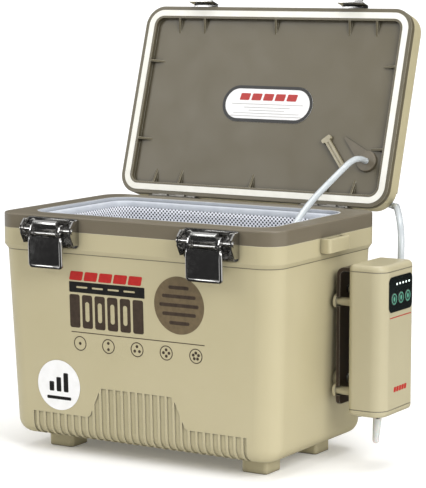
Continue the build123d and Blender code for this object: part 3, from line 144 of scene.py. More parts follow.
# The table is round, and turns clear towards its rim, so that no horizon shows.
TABLE = 4.0
TABLE_SOLID = 0.45
TABLE_CLEAR = 0.95
TABLE_GLOW = 0.10
table_mesh = bpy.data.meshes.new("table")
corners = [(-TABLE, -TABLE, 0), (TABLE, -TABLE, 0), (TABLE, TABLE, 0), (-TABLE, TABLE, 0)]
table_mesh.from_pydata(corners, [], [(0, 1, 2, 3)])
table = in_scene(bpy.data.objects.new("table", table_mesh))
table_paint = bpy.data.materials.new("white_table")
table_paint.use_nodes = True
sheet = table_paint.node_tree
sheet.nodes.clear()
spot = add(sheet, "ShaderNodeTexCoord").outputs["Object"]
reach = add(sheet, "ShaderNodeVectorMath", links={0: spot}, operation="LENGTH").outputs["Value"]
fade = add(sheet, "ShaderNodeMapRange", {"From Min": TABLE_SOLID, "From Max": TABLE_CLEAR},
           {"Value": reach}, interpolation_type="SMOOTHSTEP").outputs[0]
white = add(sheet, "ShaderNodeBsdfDiffuse", {"Color": linear("FAFAFA")})
glow = add(sheet, "ShaderNodeEmission", {"Strength": TABLE_GLOW})
top = add(sheet, "ShaderNodeAddShader", links={0: white.outputs[0], 1: glow.outputs[0]})
clear = add(sheet, "ShaderNodeBsdfTransparent")
cover = add(sheet, "ShaderNodeMixShader", links={0: fade, 1: top.outputs[0], 2: clear.outputs[0]})
add(sheet, "ShaderNodeOutputMaterial", links={"Surface": cover.outputs[0]})
table_mesh.materials.append(table_paint)
table.visible_glossy = False

# ======================================================================= air hoses
# Soft silicone tube, milky clear, 6 mm outside. One length runs from the pump's elbow up behind the
# lid to the grommet, the other from the grommet down into the bag, where the air stone lies.
HOSE_DIAMETER = 0.006
OUTER_ROUTE = [
    (0.1875, 0.0660, 0.1780), (0.1875, 0.0660, 0.1890), (0.1850, 0.0717, 0.2049),
    (0.1786, 0.0810, 0.2191), (0.1635, 0.1045, 0.2285), (0.1495, 0.1320, 0.2235),
    (0.1162, 0.1469, 0.2300), (0.0911, 0.1544, 0.2242), (0.0847, 0.1785, 0.2248),
    (0.0952, 0.1939, 0.2415), (0.1130, 0.1854, 0.2569), (0.1210, 0.1617, 0.2550),
    (0.1210, 0.1470, 0.25965),
]
INNER_ROUTE = [
    (0.1210, 0.12387, 0.26694), (0.1210, 0.1115, 0.2708), (0.1202, 0.0950, 0.2690),
    (0.1185, 0.0775, 0.2605), (0.1163, 0.0570, 0.2505), (0.1148, 0.0320, 0.2390),
    (0.1149, 0.0040, 0.2245), (0.1130, -0.0200, 0.2000), (0.1075, -0.0340, 0.1680),
    (0.1040, -0.0410, 0.1350), (0.1035, -0.0435, 0.1070), (0.1032, -0.0426, 0.0840),
    (0.1008, -0.0410, 0.0630), (0.0880, -0.0400, 0.0458), (0.0670, -0.0400, 0.0458),
]


def finish_shader(name, surface):
    """A material's node tree with its main shader, set to the surface's own plain values."""
    material = bpy.data.materials.new(name)
    material.use_nodes = True
    tree = material.node_tree
    tree.nodes.clear()
    shader = add(tree, "ShaderNodeBsdfPrincipled", surface)
    add(tree, "ShaderNodeOutputMaterial", links={"Surface": shader.outputs[0]})
    return material, tree, shader


def mottle(tree, where, grain, low, high):
    """Two close colours, mixed in soft clouds about as wide as the grain, in metres."""
    clouds = add(tree, "ShaderNodeTexNoise", {"Scale": 1 / grain, "Detail": 4.0}, {"Vector": where})
    spread = add(tree, "ShaderNodeMapRange", {"From Min": 0.35, "From Max": 0.65},
                 {"Value": clouds.outputs[0]})
    mix = add(tree, "ShaderNodeMix", {"A": linear(low), "B": linear(high)}, data_type="RGBA")
    tree.links.new(spread.outputs[0], mix.inputs["Factor"])
    return mix.outputs["Result"]


def clear_silicone():
    """Extruded silicone: milky, softly glossy, with a faintly uneven skin."""
    material, tree, shader = finish_shader(
        "extruded_silicone",
        {"Roughness": 0.22, "IOR": 1.41, "Transmission Weight": 0.35,
         "Coat Weight": 0.4, "Coat Roughness": 0.1},
    )
    where = add(tree, "ShaderNodeTexCoord").outputs["Object"]
    tree.links.new(mottle(tree, where, 0.03, "D0D7DA", "DBE1E4"), shader.inputs["Base Color"])
    skin = add(tree, "ShaderNodeTexNoise", {"Scale": 900.0, "Detail": 2.0}, {"Vector": where})
    bump = add(tree, "ShaderNodeBump", {"Strength": 0.08, "Distance": 0.0003}, {"Height": skin.outputs[0]})
    tree.links.new(bump.outputs[0], shader.inputs["Normal"])
    return material


def curve_mesh(data):
    """The mesh of a curve, taken through an object that is then thrown away."""
    guide = in_scene(bpy.data.objects.new("guide", data))
    bpy.context.view_layer.update()
    mesh = bpy.data.meshes.new_from_object(guide)
    bpy.data.objects.remove(guide)
    return mesh


def hose(name, route, material):
    """A round tube along one smooth line led by the route's points, and that line's own points."""
    data = bpy.data.curves.new(name + "_line", "CURVE")
    data.dimensions = "3D"
    spline = data.splines.new("NURBS")
    spline.points.add(len(route) - 1)
    for point, place in zip(spline.points, route):
        point.co = (*place, 1.0)
    spline.order_u = 3
    spline.use_endpoint_u = True
    spline.resolution_u = 10
    path = [tuple(vertex.co) for vertex in curve_mesh(data).vertices]
    data.bevel_depth = HOSE_DIAMETER / 2
    data.bevel_resolution = 5
    data.use_fill_caps = True
    mesh = curve_mesh(data)
    for polygon in mesh.polygons:
        polygon.use_smooth = True
    mesh.materials.clear()
    mesh.materials.append(material)
    return in_scene(bpy.data.objects.new(name, mesh)), path


silicone = clear_silicone()
outer_hose, outer_path = hose("outer_hose", OUTER_ROUTE, silicone)
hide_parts("air_hose_outer")
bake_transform(outer_hose)

inner_hose, inner_path = hose("inner_hose", INNER_ROUTE, silicone)
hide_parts("air_hose_inner")
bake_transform(inner_hose)

# ======================================================================= moulded shells
# The box and the lid are thick moulded polyethylene in sand colour, with a fine even grain and a
# satin skin, filled with foam. The rim collar and the lid's inner panel are the same plastic in
# grey-brown, and the liner is smooth white polypropylene.
SEAM_SHADOW_HALF_WIDTH = 0.00045
SOFT_EDGE = 0.0009
PAINTED_SHADE_REACH = 0.006
CLOUD_SIZE = 0.09


def moulded_plastic(name, low, high, roughness, grain, relief, shadow_seams=()):
    """Moulded polyethylene: faint clouds of colour, satin, with a fine pebbled skin. Its edges are
    softened and rubbed a little paler, its corners and creases are darkened with painted shade, and a
    fine painted shadow line runs round the piece at each seam height it is given."""
    material, tree, shader = finish_shader(name, {"IOR": 1.5, "Specular IOR Level": 0.4})
    where = add(tree, "ShaderNodeTexCoord").outputs["Object"]
    clouds = mottle(tree, where, CLOUD_SIZE, low, high)
    soft_edge = add(tree, "ShaderNodeBevel", {"Radius": SOFT_EDGE}, samples=6).outputs[0]
    true_face = add(tree, "ShaderNodeNewGeometry").outputs["True Normal"]
    turn = add(tree, "ShaderNodeVectorMath", links={0: soft_edge, 1: true_face}, operation="DOT_PRODUCT")
    rubbed = add(tree, "ShaderNodeMapRange", {"From Min": 0.985, "From Max": 0.86, "To Max": 0.30},
                 {"Value": turn.outputs["Value"]}).outputs[0]
    paler = add(tree, "ShaderNodeMix", {"B": linear("E9E3CB")}, data_type="RGBA")
    tree.links.new(rubbed, paler.inputs["Factor"])
    tree.links.new(clouds, paler.inputs["A"])
    # Painted shade: ambient occlusion darkens the colour in corners and creases, in place of shade.
    nook = add(tree, "ShaderNodeAmbientOcclusion", {"Distance": PAINTED_SHADE_REACH}, samples=8).outputs["AO"]
    painted_shade = add(tree, "ShaderNodeMapRange",
                {"From Min": 0.35, "From Max": 0.95, "To Min": 0.45, "To Max": 1.0},
                {"Value": nook}).outputs[0]
    height = add(tree, "ShaderNodeSeparateXYZ", links={0: where}).outputs[2]
    # Painted shadow: a fine dark band round the piece at each seam height, for the shade in the seam's
    # groove.
    for shadow_seam in shadow_seams:
        near = {1: shadow_seam, 2: SEAM_SHADOW_HALF_WIDTH}
        line = add(tree, "ShaderNodeMath", near, {0: height}, operation="COMPARE").outputs[0]
        shade = add(tree, "ShaderNodeMapRange", {"To Min": 1.0, "To Max": 0.35}, {"Value": line}).outputs[0]
        painted_shade = add(tree, "ShaderNodeMath", links={0: painted_shade, 1: shade}, operation="MULTIPLY").outputs[0]
    # The paler rubbed edges are wear; the darkening multiplied in here is painted shade.
    worn_and_shaded = add(tree, "ShaderNodeVectorMath", links={0: paler.outputs["Result"]}, operation="SCALE")
    tree.links.new(painted_shade, worn_and_shaded.inputs["Scale"])
    tree.links.new(worn_and_shaded.outputs[0], shader.inputs["Base Color"])
    pebble = add(tree, "ShaderNodeTexNoise", {"Scale": 1 / grain, "Detail": 2.0}, {"Vector": where})
    bump = add(tree, "ShaderNodeBump", {"Strength": relief, "Distance": 0.0004},
               {"Height": pebble.outputs[0], "Normal": soft_edge})
    tree.links.new(bump.outputs[0], shader.inputs["Normal"])
    rubbing = add(tree, "ShaderNodeTexNoise", {"Scale": 38.0, "Detail": 5.0}, {"Vector": where})
    gloss = add(
        tree, "ShaderNodeMapRange",
        {"From Min": 0.3, "From Max": 0.7, "To Min": roughness - 0.03, "To Max": roughness + 0.04},
        {"Value": rubbing.outputs[0]},
    )
    tree.links.new(gloss.outputs[0], shader.inputs["Roughness"])
    return material


def dress(material, *nodes):
    """Give these pieces of the frame a finish."""
    for node in nodes:
        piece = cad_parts[node]
        if not piece.material_slots:
            piece.data.materials.append(material)
        for place in piece.material_slots:
            place.material = material


LEDGE_Z = 0.1903
# The ledge gets a painted shadow line at its step.
sand_plastic = moulded_plastic("sand_polyethylene", "AFA685", "B2A989", 0.40, 0.0011, 0.10, (LEDGE_Z,))
dress(sand_plastic, "outer_shell", "lid_top_shell", "strap_lug_left", "strap_lug_right")
dress(moulded_plastic("rim_polyethylene", "6A6252", "6D6555", 0.36, 0.0010, 0.10), "rim_collar")
dress(moulded_plastic("panel_polyethylene", "5D5643", "5F5845", 0.36, 0.0010, 0.10), "lid_inner_panel")
liner_plastic = moulded_plastic("white_polypropylene", "BDC2CA", "C4C9D0", 0.25, 0.0020, 0.04)
dress(liner_plastic, "inner_liner")


def pale_foam():
    """Poured polyurethane foam: pale yellow, matt, with small closed cells."""
    material, tree, shader = finish_shader("poured_foam", {"Roughness": 0.95})
    where = add(tree, "ShaderNodeTexCoord").outputs["Object"]
    tree.links.new(mottle(tree, where, 0.02, "E2CF96", "EDDDAA"), shader.inputs["Base Color"])
    cells = add(tree, "ShaderNodeTexVoronoi", {"Scale": 700.0}, {"Vector": where})
    bump = add(tree, "ShaderNodeBump", {"Strength": 0.4, "Distance": 0.0005}, {"Height": cells.outputs[0]})
    tree.links.new(bump.outputs[0], shader.inputs["Normal"])
    return material


dress(pale_foam(), "foam_insulation", "lid_foam")

# ======================================================================= lid seal
# A soft white rubber strip, pressed into its groove all round the lid's underside. The grommet and
# the port plug are rubber too.


def soft_rubber(name, low, high, roughness):
    """Moulded rubber: matt, with a faint bloom."""
    material, tree, shader = finish_shader(name, {"Roughness": roughness, "IOR": 1.52})
    where = add(tree, "ShaderNodeTexCoord").outputs["Object"]
    tree.links.new(mottle(tree, where, 0.012, low, high), shader.inputs["Base Color"])
    skin = add(tree, "ShaderNodeTexNoise", {"Scale": 1500.0, "Detail": 3.0}, {"Vector": where})
    bump = add(tree, "ShaderNodeBump", {"Strength": 0.12, "Distance": 0.0003}, {"Height": skin.outputs[0]})
    tree.links.new(bump.outputs[0], shader.inputs["Normal"])
    return material


dress(soft_rubber("white_seal_rubber", "E6E5DC", "EDECE4", 0.55), "lid_gasket")
dress(soft_rubber("grey_grommet_rubber", "5D5647", "675F4F", 0.45), "hose_grommet")
dress(soft_rubber("olive_plug_rubber", "958D74", "A0987F", 0.35), "port_plug")

# ======================================================================= bait bag
# White polyester mesh, sewn to a smooth white hem that stands on the liner's step. The cloth hangs
# a little slack against the liner, in shallow folds.
BOX_HALF = Vector((0.150, 0.097))
HEM_TOP = 0.2209
HEM_FOOT = 0.2133
BAG_TOP_INSET = 0.0282
BAG_SLOPE = 0.02
BAG_FLOOR = 0.0388
BAG_ROUNDING = 0.011
CLOTH_THICKNESS = 0.0006
BAG_CORNER = 0.0165
BAG_FOOT_CORNER = 0.0085
BAG_MIDDLE = 0.0952
LINER_STEP = 0.212
WALL_ROWS = 30
FOOT_ROWS = 6
FOLD_FADE = 0.02
FOLD_STAND = 0.0011
FOLD_DEPTH = 0.0010
HEM_OVERLAP = 0.002
FOOT_GAP = 0.0005
SIDE_STEPS = 26
CORNER_STEPS = 8
FOLD_LEAN = 1.3
# Each set of folds: how fast it turns along the wall and upwards, where it starts, and its share.
FOLDS = ((62, 21, 0.0, 0.5), (27, -34, 1.3, 0.7))


def rounded_ring(inset, radius, z, wave=None):
    """Points round a rounded rectangle, inset from the box's outside, going round from the front."""
    half = Vector((BOX_HALF.x - inset, BOX_HALF.y - inset))
    points = []
    turns = ((1, -1, -90), (1, 1, 0), (-1, 1, 90), (-1, -1, 180))
    for number, (sx, sy, start) in enumerate(turns):
        centre = Vector((sx * (half.x - radius), sy * (half.y - radius)))
        for step in range(CORNER_STEPS + 1):
            angle = radians(start + 90 * step / CORNER_STEPS)
            points.append(centre + radius * Vector((cos(angle), sin(angle))))
        nx, ny, _ = turns[(number + 1) % 4]
        following = Vector((nx * (half.x - radius), ny * (half.y - radius)))
        angle = radians(start + 90)
        end = following + radius * Vector((cos(angle), sin(angle)))
        begin = points[-1]
        points += [begin.lerp(end, step / SIDE_STEPS) for step in range(1, SIDE_STEPS)]
    ring = []
    for point in points:
        if wave:
            point = point * (1 - wave(point, z) / point.length)
        ring.append((point.x, point.y, z))
    return ring


def lofted(name, rings, material, close_ends=False, wrap=False):
    """A smooth skin over rings that have the same number of points."""
    count = len(rings[0])
    points = [place for ring in rings for place in ring]
    faces = []
    rows = len(rings) if wrap else len(rings) - 1
    for row in range(rows):
        low = row * count
        high = (row + 1) % len(rings) * count
        faces += [(low + i, low + (i + 1) % count, high + (i + 1) % count, high + i) for i in range(count)]
    if close_ends:
        faces.append(tuple(range(count))[::-1])
        faces.append(tuple(range(len(points) - count, len(points))))
    mesh = bpy.data.meshes.new(name)
    mesh.from_pydata(points, [], faces)
    mesh.materials.append(material)
    for polygon in mesh.polygons:
        polygon.use_smooth = True
    return in_scene(bpy.data.objects.new(name, mesh))


def slack(point, z):
    """How far the cloth stands in from the liner here: shallow folds that fade out at the hem."""
    fade = min(1.0, max(0.0, (HEM_FOOT - z) / FOLD_FADE))
    along = point.x * FOLD_LEAN - point.y
    folds = sum(share * sin(along * across + z * up + start) for across, up, start, share in FOLDS)
    return fade * (FOLD_STAND + FOLD_DEPTH * folds)


def mesh_cloth():
    """Knitted polyester mesh: white threads round staggered holes. They are drawn a little coarser than
    real ones, so that they show, and aren't cut through: each is a dark spot of painted shade."""
    spacing = 0.0040
    material, tree, shader = finish_shader("polyester_mesh", {"Roughness": 0.7, "Sheen Weight": 0.2})
    where = add(tree, "ShaderNodeTexCoord").outputs["Object"]
    axes = add(tree, "ShaderNodeSeparateXYZ", links={0: where}).outputs
    along = add(tree, "ShaderNodeMath", links={0: axes[0], 1: axes[1]}, operation="ADD").outputs[0]
    across = add(tree, "ShaderNodeMath", links={0: axes[0], 1: axes[1]}, operation="SUBTRACT").outputs[0]
    face = add(tree, "ShaderNodeNewGeometry").outputs["True Normal"]
    tilt = add(tree, "ShaderNodeSeparateXYZ", links={0: face}).outputs[2]
    flat = add(tree, "ShaderNodeMath", links={0: tilt}, operation="ABSOLUTE").outputs[0]
    lying = add(tree, "ShaderNodeMath", {1: 0.7}, {0: flat}, operation="GREATER_THAN").outputs[0]
    up = add(tree, "ShaderNodeMix", links={"Factor": lying, "A": axes[2], "B": across}).outputs["Result"]
    waves = []
    for socket in (along, up):
        turned = add(tree, "ShaderNodeMath", {1: 2 * pi / spacing}, {0: socket}, operation="MULTIPLY")
        waves.append(add(tree, "ShaderNodeMath", links={0: turned.outputs[0]}, operation="SINE").outputs[0])
    net = add(tree, "ShaderNodeMath", links={0: waves[0], 1: waves[1]}, operation="MULTIPLY").outputs[0]
    hole = add(tree, "ShaderNodeMapRange", {"From Min": 0.0, "From Max": 0.3}, {"Value": net}).outputs[0]
    # The dark hole colour is painted shade, for the shaded liner seen through the holes.
    mix = add(tree, "ShaderNodeMix", {"A": linear("E0E3EB"), "B": linear("1D212C")}, data_type="RGBA")
    tree.links.new(hole, mix.inputs["Factor"])
    tree.links.new(mix.outputs["Result"], shader.inputs["Base Color"])
    bump = add(tree, "ShaderNodeBump", {"Strength": 0.5, "Distance": 0.0004}, {"Height": hole}, invert=True)
    tree.links.new(bump.outputs[0], shader.inputs["Normal"])
    return material


def hem_tape():
    """Woven binding tape: plain white, with a fine rib along the edge."""
    material, tree, shader = finish_shader("hem_tape", {"Roughness": 0.75, "Sheen Weight": 0.25})
    where = add(tree, "ShaderNodeTexCoord").outputs["Object"]
    tree.links.new(mottle(tree, where, 0.01, "B6BBC4", "C0C5CC"), shader.inputs["Base Color"])
    rib = add(tree, "ShaderNodeTexWave", {"Scale": 260.0}, {"Vector": where}, bands_direction="Z")
    bump = add(tree, "ShaderNodeBump", {"Strength": 0.2, "Distance": 0.0003}, {"Height": rib.outputs[0]})
    tree.links.new(bump.outputs[0], shader.inputs["Normal"])
    return material


bag_top = HEM_FOOT + HEM_OVERLAP
bag_foot = BAG_FLOOR + BAG_ROUNDING
bag_rings = []
for step in range(WALL_ROWS + 1):
    z = bag_top + (bag_foot - bag_top) * step / WALL_ROWS
    inset = BAG_TOP_INSET + BAG_SLOPE * max(0.0, LINER_STEP - z)
    bag_rings.append(rounded_ring(inset, BAG_CORNER, z, slack))
side_inset = BAG_TOP_INSET + BAG_SLOPE * (LINER_STEP - bag_foot)
foot_inset = side_inset + FOOT_GAP
for step in range(1, FOOT_ROWS + 1):
    angle = pi / 2 * step / FOOT_ROWS
    inset = foot_inset + BAG_ROUNDING * (1 - cos(angle))
    radius = BAG_CORNER + (BAG_FOOT_CORNER - BAG_CORNER) * step / FOOT_ROWS
    bag_rings.append(rounded_ring(inset, radius, BAG_FLOOR + BAG_ROUNDING * (1 - sin(angle))))
for step in range(1, FOOT_ROWS):
    inset = foot_inset + BAG_ROUNDING + (BAG_MIDDLE - side_inset - BAG_ROUNDING) * step / FOOT_ROWS
    bag_rings.append(rounded_ring(inset, BAG_FOOT_CORNER * (1 - step / (FOOT_ROWS + 1)), BAG_FLOOR))
bag_cloth = lofted("bag_mesh_cloth", bag_rings, mesh_cloth())
middle = bmesh.new()
middle.from_mesh(bag_cloth.data)
floor_edges = [e for e in middle.edges if e.is_boundary and e.verts[0].co.z < bag_foot]
bmesh.ops.holes_fill(middle, edges=floor_edges, sides=0)
bmesh.ops.recalc_face_normals(middle, faces=middle.faces)
middle.to_mesh(bag_cloth.data)
middle.free()
thickness = bag_cloth.modifiers.new("thickness", "SOLIDIFY")
thickness.thickness = CLOTH_THICKNESS
thickness.offset = 0.0
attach(bag_cloth, "box")
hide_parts("net_bag")

hem_section = (
    (0.0237, 0.2138), (0.0236, 0.2165), (0.0237, 0.2195), (0.0244, 0.2206), (0.0258, HEM_TOP),
    (0.0273, 0.2206), (0.0281, 0.2195), (0.0284, 0.2165), (0.0284, HEM_FOOT), (0.0276, 0.2129),
    (0.0266, 0.2131),
)
HEM_ARC_CENTRE = 0.0440
hem_rings = [rounded_ring(inset, HEM_ARC_CENTRE - inset, z) for inset, z in hem_section]
hem = lofted("bag_hem", hem_rings, hem_tape(), wrap=True)
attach(hem, "box")

# ======================================================================= bright metal
# Latches and keepers are pressed stainless steel, polished, with the softly rolled edges that
# pressing leaves. The hinges are a darker, brushed steel. Screws, the bag's hoop and the motor's can
# are duller than the latches.


def polished_steel(name, colour, roughness):
    """Stainless steel: dark where it mirrors the dark room, with faint wipe marks."""
    material, tree, shader = finish_shader(name, {"Metallic": 1.0, "Base Color": linear(colour)})
    where = add(tree, "ShaderNodeTexCoord").outputs["Object"]
    wipes = add(tree, "ShaderNodeTexNoise", {"Scale": 240.0, "Detail": 6.0}, {"Vector": where})
    gloss = add(
        tree, "ShaderNodeMapRange",
        {"From Min": 0.3, "From Max": 0.7, "To Min": roughness - 0.04, "To Max": roughness + 0.10},
        {"Value": wipes.outputs[0]},
    )
    tree.links.new(gloss.outputs[0], shader.inputs["Roughness"])
    dents = add(tree, "ShaderNodeTexNoise", {"Scale": 90.0, "Detail": 1.0}, {"Vector": where})
    bump = add(tree, "ShaderNodeBump", {"Strength": 0.10, "Distance": 0.0006}, {"Height": dents.outputs[0]})
    tree.links.new(bump.outputs[0], shader.inputs["Normal"])
    return material


def rolled(node, body, material, width):
    """The same pressed piece with its edges rolled over, in place of the sharp-edged one."""
    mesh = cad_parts[node].data.copy()
    shape = bmesh.new()
    shape.from_mesh(mesh)
    bmesh.ops.remove_doubles(shape, verts=shape.verts, dist=1e-6)
    bmesh.ops.dissolve_limit(shape, angle_limit=radians(1.0), verts=shape.verts, edges=shape.edges)
    shape.to_mesh(mesh)
    shape.free()
    mesh.materials.clear()
    mesh.materials.append(material)
    for polygon in mesh.polygons:
        polygon.use_smooth = True
    piece = in_scene(bpy.data.objects.new(node + "_pressed", mesh))
    edge = piece.modifiers.new("rolled_edge", "BEVEL")
    edge.width = width
    edge.segments = 3
    edge.limit_method = "ANGLE"
    edge.angle_limit = radians(35)
    edge.harden_normals = True
    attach(piece, body)
    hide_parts(node)
    return piece


BOX_FRONT_Y = -0.097
LATCH_X = 0.0845
RAIL_RADIUS = 0.0018
RAIL_REACH = 0.0171
RAIL_TOP = 0.2060
RAIL_FOOT = 0.1788
RAIL_BEND = 0.0024
RAIL_OUT_TOP = 0.0136
RAIL_OUT_BEND = 0.0126
RAIL_OUT_FOOT = 0.0118
RAIL_TAPER = (0.45, 0.85, 1.0)
RAIL_STEPS = 7
BEND_STEPS = 6
RAIL_SIDES = 14


def rail_line():
    """The line of a lever's rolled edge, as across, out from the box's front, and up: down one side,
    round the foot and up the other side."""
    half = []
    for step in range(RAIL_STEPS + 1):
        part = step / RAIL_STEPS
        up = RAIL_TOP + (RAIL_FOOT + RAIL_BEND - RAIL_TOP) * part
        half.append((RAIL_REACH, RAIL_OUT_TOP + (RAIL_OUT_BEND - RAIL_OUT_TOP) * part, up))
    for step in range(1, BEND_STEPS + 1):
        part = step / BEND_STEPS
        across = RAIL_REACH - RAIL_BEND * (1 - cos(pi / 2 * part))
        up = RAIL_FOOT + RAIL_BEND * (1 - sin(pi / 2 * part))
        half.append((across, RAIL_OUT_BEND + (RAIL_OUT_FOOT - RAIL_OUT_BEND) * part, up))
    half.append((RAIL_REACH / 3, RAIL_OUT_FOOT, RAIL_FOOT))
    return [(-across, out, up) for across, out, up in half] + half[::-1]


def lever_rail(side, centre_x):
    """The bright rolled edge round a lever's sides and foot, tapered to nothing at both ends."""
    line = [Vector((centre_x + across, BOX_FRONT_Y - out, up)) for across, out, up in rail_line()]
    rings = []
    last = len(line) - 1
    for number, place in enumerate(line):
        along = (line[min(number + 1, last)] - line[max(number - 1, 0)]).normalized()
        sideways = along.cross(Vector((0.0, -1.0, 0.0))).normalized()
        forward = sideways.cross(along)
        radius = RAIL_RADIUS * RAIL_TAPER[min(number, last - number, len(RAIL_TAPER) - 1)]
        angles = [2 * pi * step / RAIL_SIDES for step in range(RAIL_SIDES)]
        rings.append([tuple(place + radius * (cos(a) * sideways + sin(a) * forward)) for a in angles])
    rail = lofted(f"latch_lever_rail_{side}", rings, bright_steel, close_ends=True)
    shape = bmesh.new()
    shape.from_mesh(rail.data)
    bmesh.ops.recalc_face_normals(shape, faces=shape.faces)
    shape.to_mesh(rail.data)
    shape.free()
    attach(rail, f"lever_{side}")


bright_steel = polished_steel("polished_stainless", "B9B8B6", 0.16)
lever_rail("left", -LATCH_X)
lever_rail("right", LATCH_X)
for side in ("left", "right"):
    rolled(f"latch_base_{side}", "box", bright_steel, 0.00035)
    rolled(f"latch_lever_{side}", f"lever_{side}", bright_steel, 0.00055)
    rolled(f"latch_claw_{side}", f"claw_{side}", bright_steel, 0.00035)
    rolled(f"keeper_{side}", "lid", bright_steel, 0.00035)
    dress(bright_steel, f"claw_pin_{side}")
dress(bright_steel, "latch_pivot_rivets")
dress(polished_steel("brushed_stainless", "6F6D68", 0.36), "hinge_body_leaf_left", "hinge_body_leaf_right",
      "hinge_lid_leaf_left", "hinge_lid_leaf_right", "hinge_pins")
screw_steel = polished_steel("turned_stainless", "A9A8A5", 0.24)
dress(screw_steel, "body_screws", "lid_screws", "pump_bracket_screws", "pump_case_screws", "net_hoop",
      "pump_motor")

# ======================================================================= printing on the front
# Screen-printed panels in red, black and brown, with a row of round marks under them. The layout is
# plain shapes only. Each is a thin skin of ink on the drafted front wall.
WALL_TOP_Y = -0.0946
WALL_TOP_Z = 0.190
WALL_DRAFT = 0.038
INK = 0.00012


def on_front(u, v, lift):
    """A place on the front wall, from across and up, lifted off it."""
    return (u, WALL_TOP_Y + WALL_DRAFT * (WALL_TOP_Z - v) - lift, v)


def ellipse(cx, cy, rx, ry, steps=48):
    """Points round an ellipse."""
    return [(cx + rx * cos(2 * pi * i / steps), cy + ry * sin(2 * pi * i / steps)) for i in range(steps)]


def rounded_bar(low_x, high_x, low_y, high_y, radius, slant=0.0):
    """Points round a bar with rounded corners, leaning over by slant for each unit up."""
    points = []
    centres = ((high_x, high_y, 0), (low_x, high_y, 90), (low_x, low_y, 180), (high_x, low_y, 270))
    for x, y, start in centres:
        cx = x + (radius if x == low_x else -radius)
        cy = y + (radius if y == low_y else -radius)
        for step in range(6):
            angle = radians(start + 18 * step)
            points.append((cx + radius * cos(angle), cy + radius * sin(angle)))
    return [(x + slant * (y - low_y), y) for x, y in points]


def ink(name, outlines, place, material, body, slot, low=-0.00005, high=INK):
    """Thin closed skins of ink inside outlines, or between an outline and its hole, as one piece."""
    points = []
    faces = []
    for outline in outlines:
        outer, hole = outline if isinstance(outline, tuple) else (outline, None)
        count = len(outer)
        base = len(points)
        for lift in (low, high):
            points += [place(u, v, lift) for u, v in outer]
        if hole is None:
            faces.append(tuple(base + count + i for i in range(count)))
            faces.append(tuple(base + i for i in range(count))[::-1])
        else:
            for lift in (low, high):
                points += [place(u, v, lift) for u, v in hole]
            inner = base + 2 * count
            for i in range(count):
                j = (i + 1) % count
                faces.append((base + count + i, base + count + j, inner + count + j, inner + count + i))
                faces.append((base + j, base + i, inner + i, inner + j))
                faces.append((inner + j, inner + i, inner + count + i, inner + count + j))
        faces += [
            (base + i, base + (i + 1) % count, base + count + (i + 1) % count, base + count + i)
            for i in range(count)
        ]
    mesh = bpy.data.meshes.new(name)
    mesh.from_pydata(points, [], faces)
    mesh.materials.append(material)
    shape = bmesh.new()
    shape.from_mesh(mesh)
    bmesh.ops.recalc_face_normals(shape, faces=shape.faces)
    shape.to_mesh(mesh)
    shape.free()
    piece = in_scene(bpy.data.objects.new(name, mesh))
    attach(piece, body)
    return piece


def printed_ink(name, low, high):
    """Screen ink: an even coat, a touch glossier than the plastic, with a fine speckle."""
    material, tree, shader = finish_shader(name, {"Roughness": 0.42, "IOR": 1.5})
    where = add(tree, "ShaderNodeTexCoord").outputs["Object"]
    tree.links.new(mottle(tree, where, 0.004, low, high), shader.inputs["Base Color"])
    return material


red_ink = printed_ink("red_ink", "A8140F", "B21D16")
black_ink = printed_ink("black_ink", "131211", "1B1A18")
brown_ink = printed_ink("brown_ink", "382C22", "43362A")
disc_ink = printed_ink("umber_ink", "63553D", "6C5D43")
sand_ink = printed_ink("sand_ink", "A89F7E", "AFA685")

PRINT_LEFT = -0.070
UPPER_INK = (0.0001, 0.0002)


def bar_row(first, count, pitch, width, low_z, high_z, radius, slant=0.0):
    """Like bars side by side, at one pitch, from the first one's left edge."""
    lefts = [first + pitch * i for i in range(count)]
    return [rounded_bar(left, left + width, low_z, high_z, radius, slant) for left in lefts]


red_bars = bar_row(PRINT_LEFT, 5, 0.0160, 0.0140, 0.1662, 0.1745, 0.0012, 0.25)
ink("red_print", red_bars, on_front, red_ink, "box", "sticker")
black_bar = rounded_bar(PRINT_LEFT, 0.012, 0.1550, 0.1648, 0.0006)
ink("black_print", [black_bar], on_front, black_ink, "box", "sticker")
dashes = bar_row(-0.062, 4, 0.0172, 0.0120, 0.1592, 0.1608, 0.0007)
ink("black_print_dashes", dashes, on_front, sand_ink, "box", "sticker", *UPPER_INK)
brown_bars = bar_row(PRINT_LEFT, 6, 0.0138, 0.0112, 0.1222, 0.1530, 0.0020)
ink("brown_print", brown_bars, on_front, brown_ink, "box", "sticker")
windows = bar_row(-0.0528, 4, 0.0138, 0.0044, 0.1285, 0.1467, 0.0021)
ink("brown_print_windows", windows, on_front, sand_ink, "box", "sticker", *UPPER_INK)

DISC_X = 0.0482
DISC_Z = 0.1518
DISC_RADIUS = 0.0261
DISC_LINE_PITCH = 0.0080
DISC_LINE_HALF = 0.0016
disc = ellipse(DISC_X, DISC_Z, DISC_RADIUS, DISC_RADIUS, 72)
ink("disc_print", [disc], on_front, disc_ink, "box", "sticker")
disc_lines = []
for i, half in enumerate((0.0105, 0.0175, 0.0205, 0.0175, 0.0105)):
    z = DISC_Z + DISC_LINE_PITCH * (2 - i)
    ends = (DISC_X - half, DISC_X + half)
    disc_lines.append(rounded_bar(*ends, z - DISC_LINE_HALF, z + DISC_LINE_HALF, 0.0014))
ink("disc_print_lines", disc_lines, on_front, brown_ink, "box", "sticker", *UPPER_INK)

thin_line = rounded_bar(-0.069, 0.074, 0.1177, 0.1184, 0.0003)
ink("thin_line", [thin_line], on_front, brown_ink, "box", "sticker")

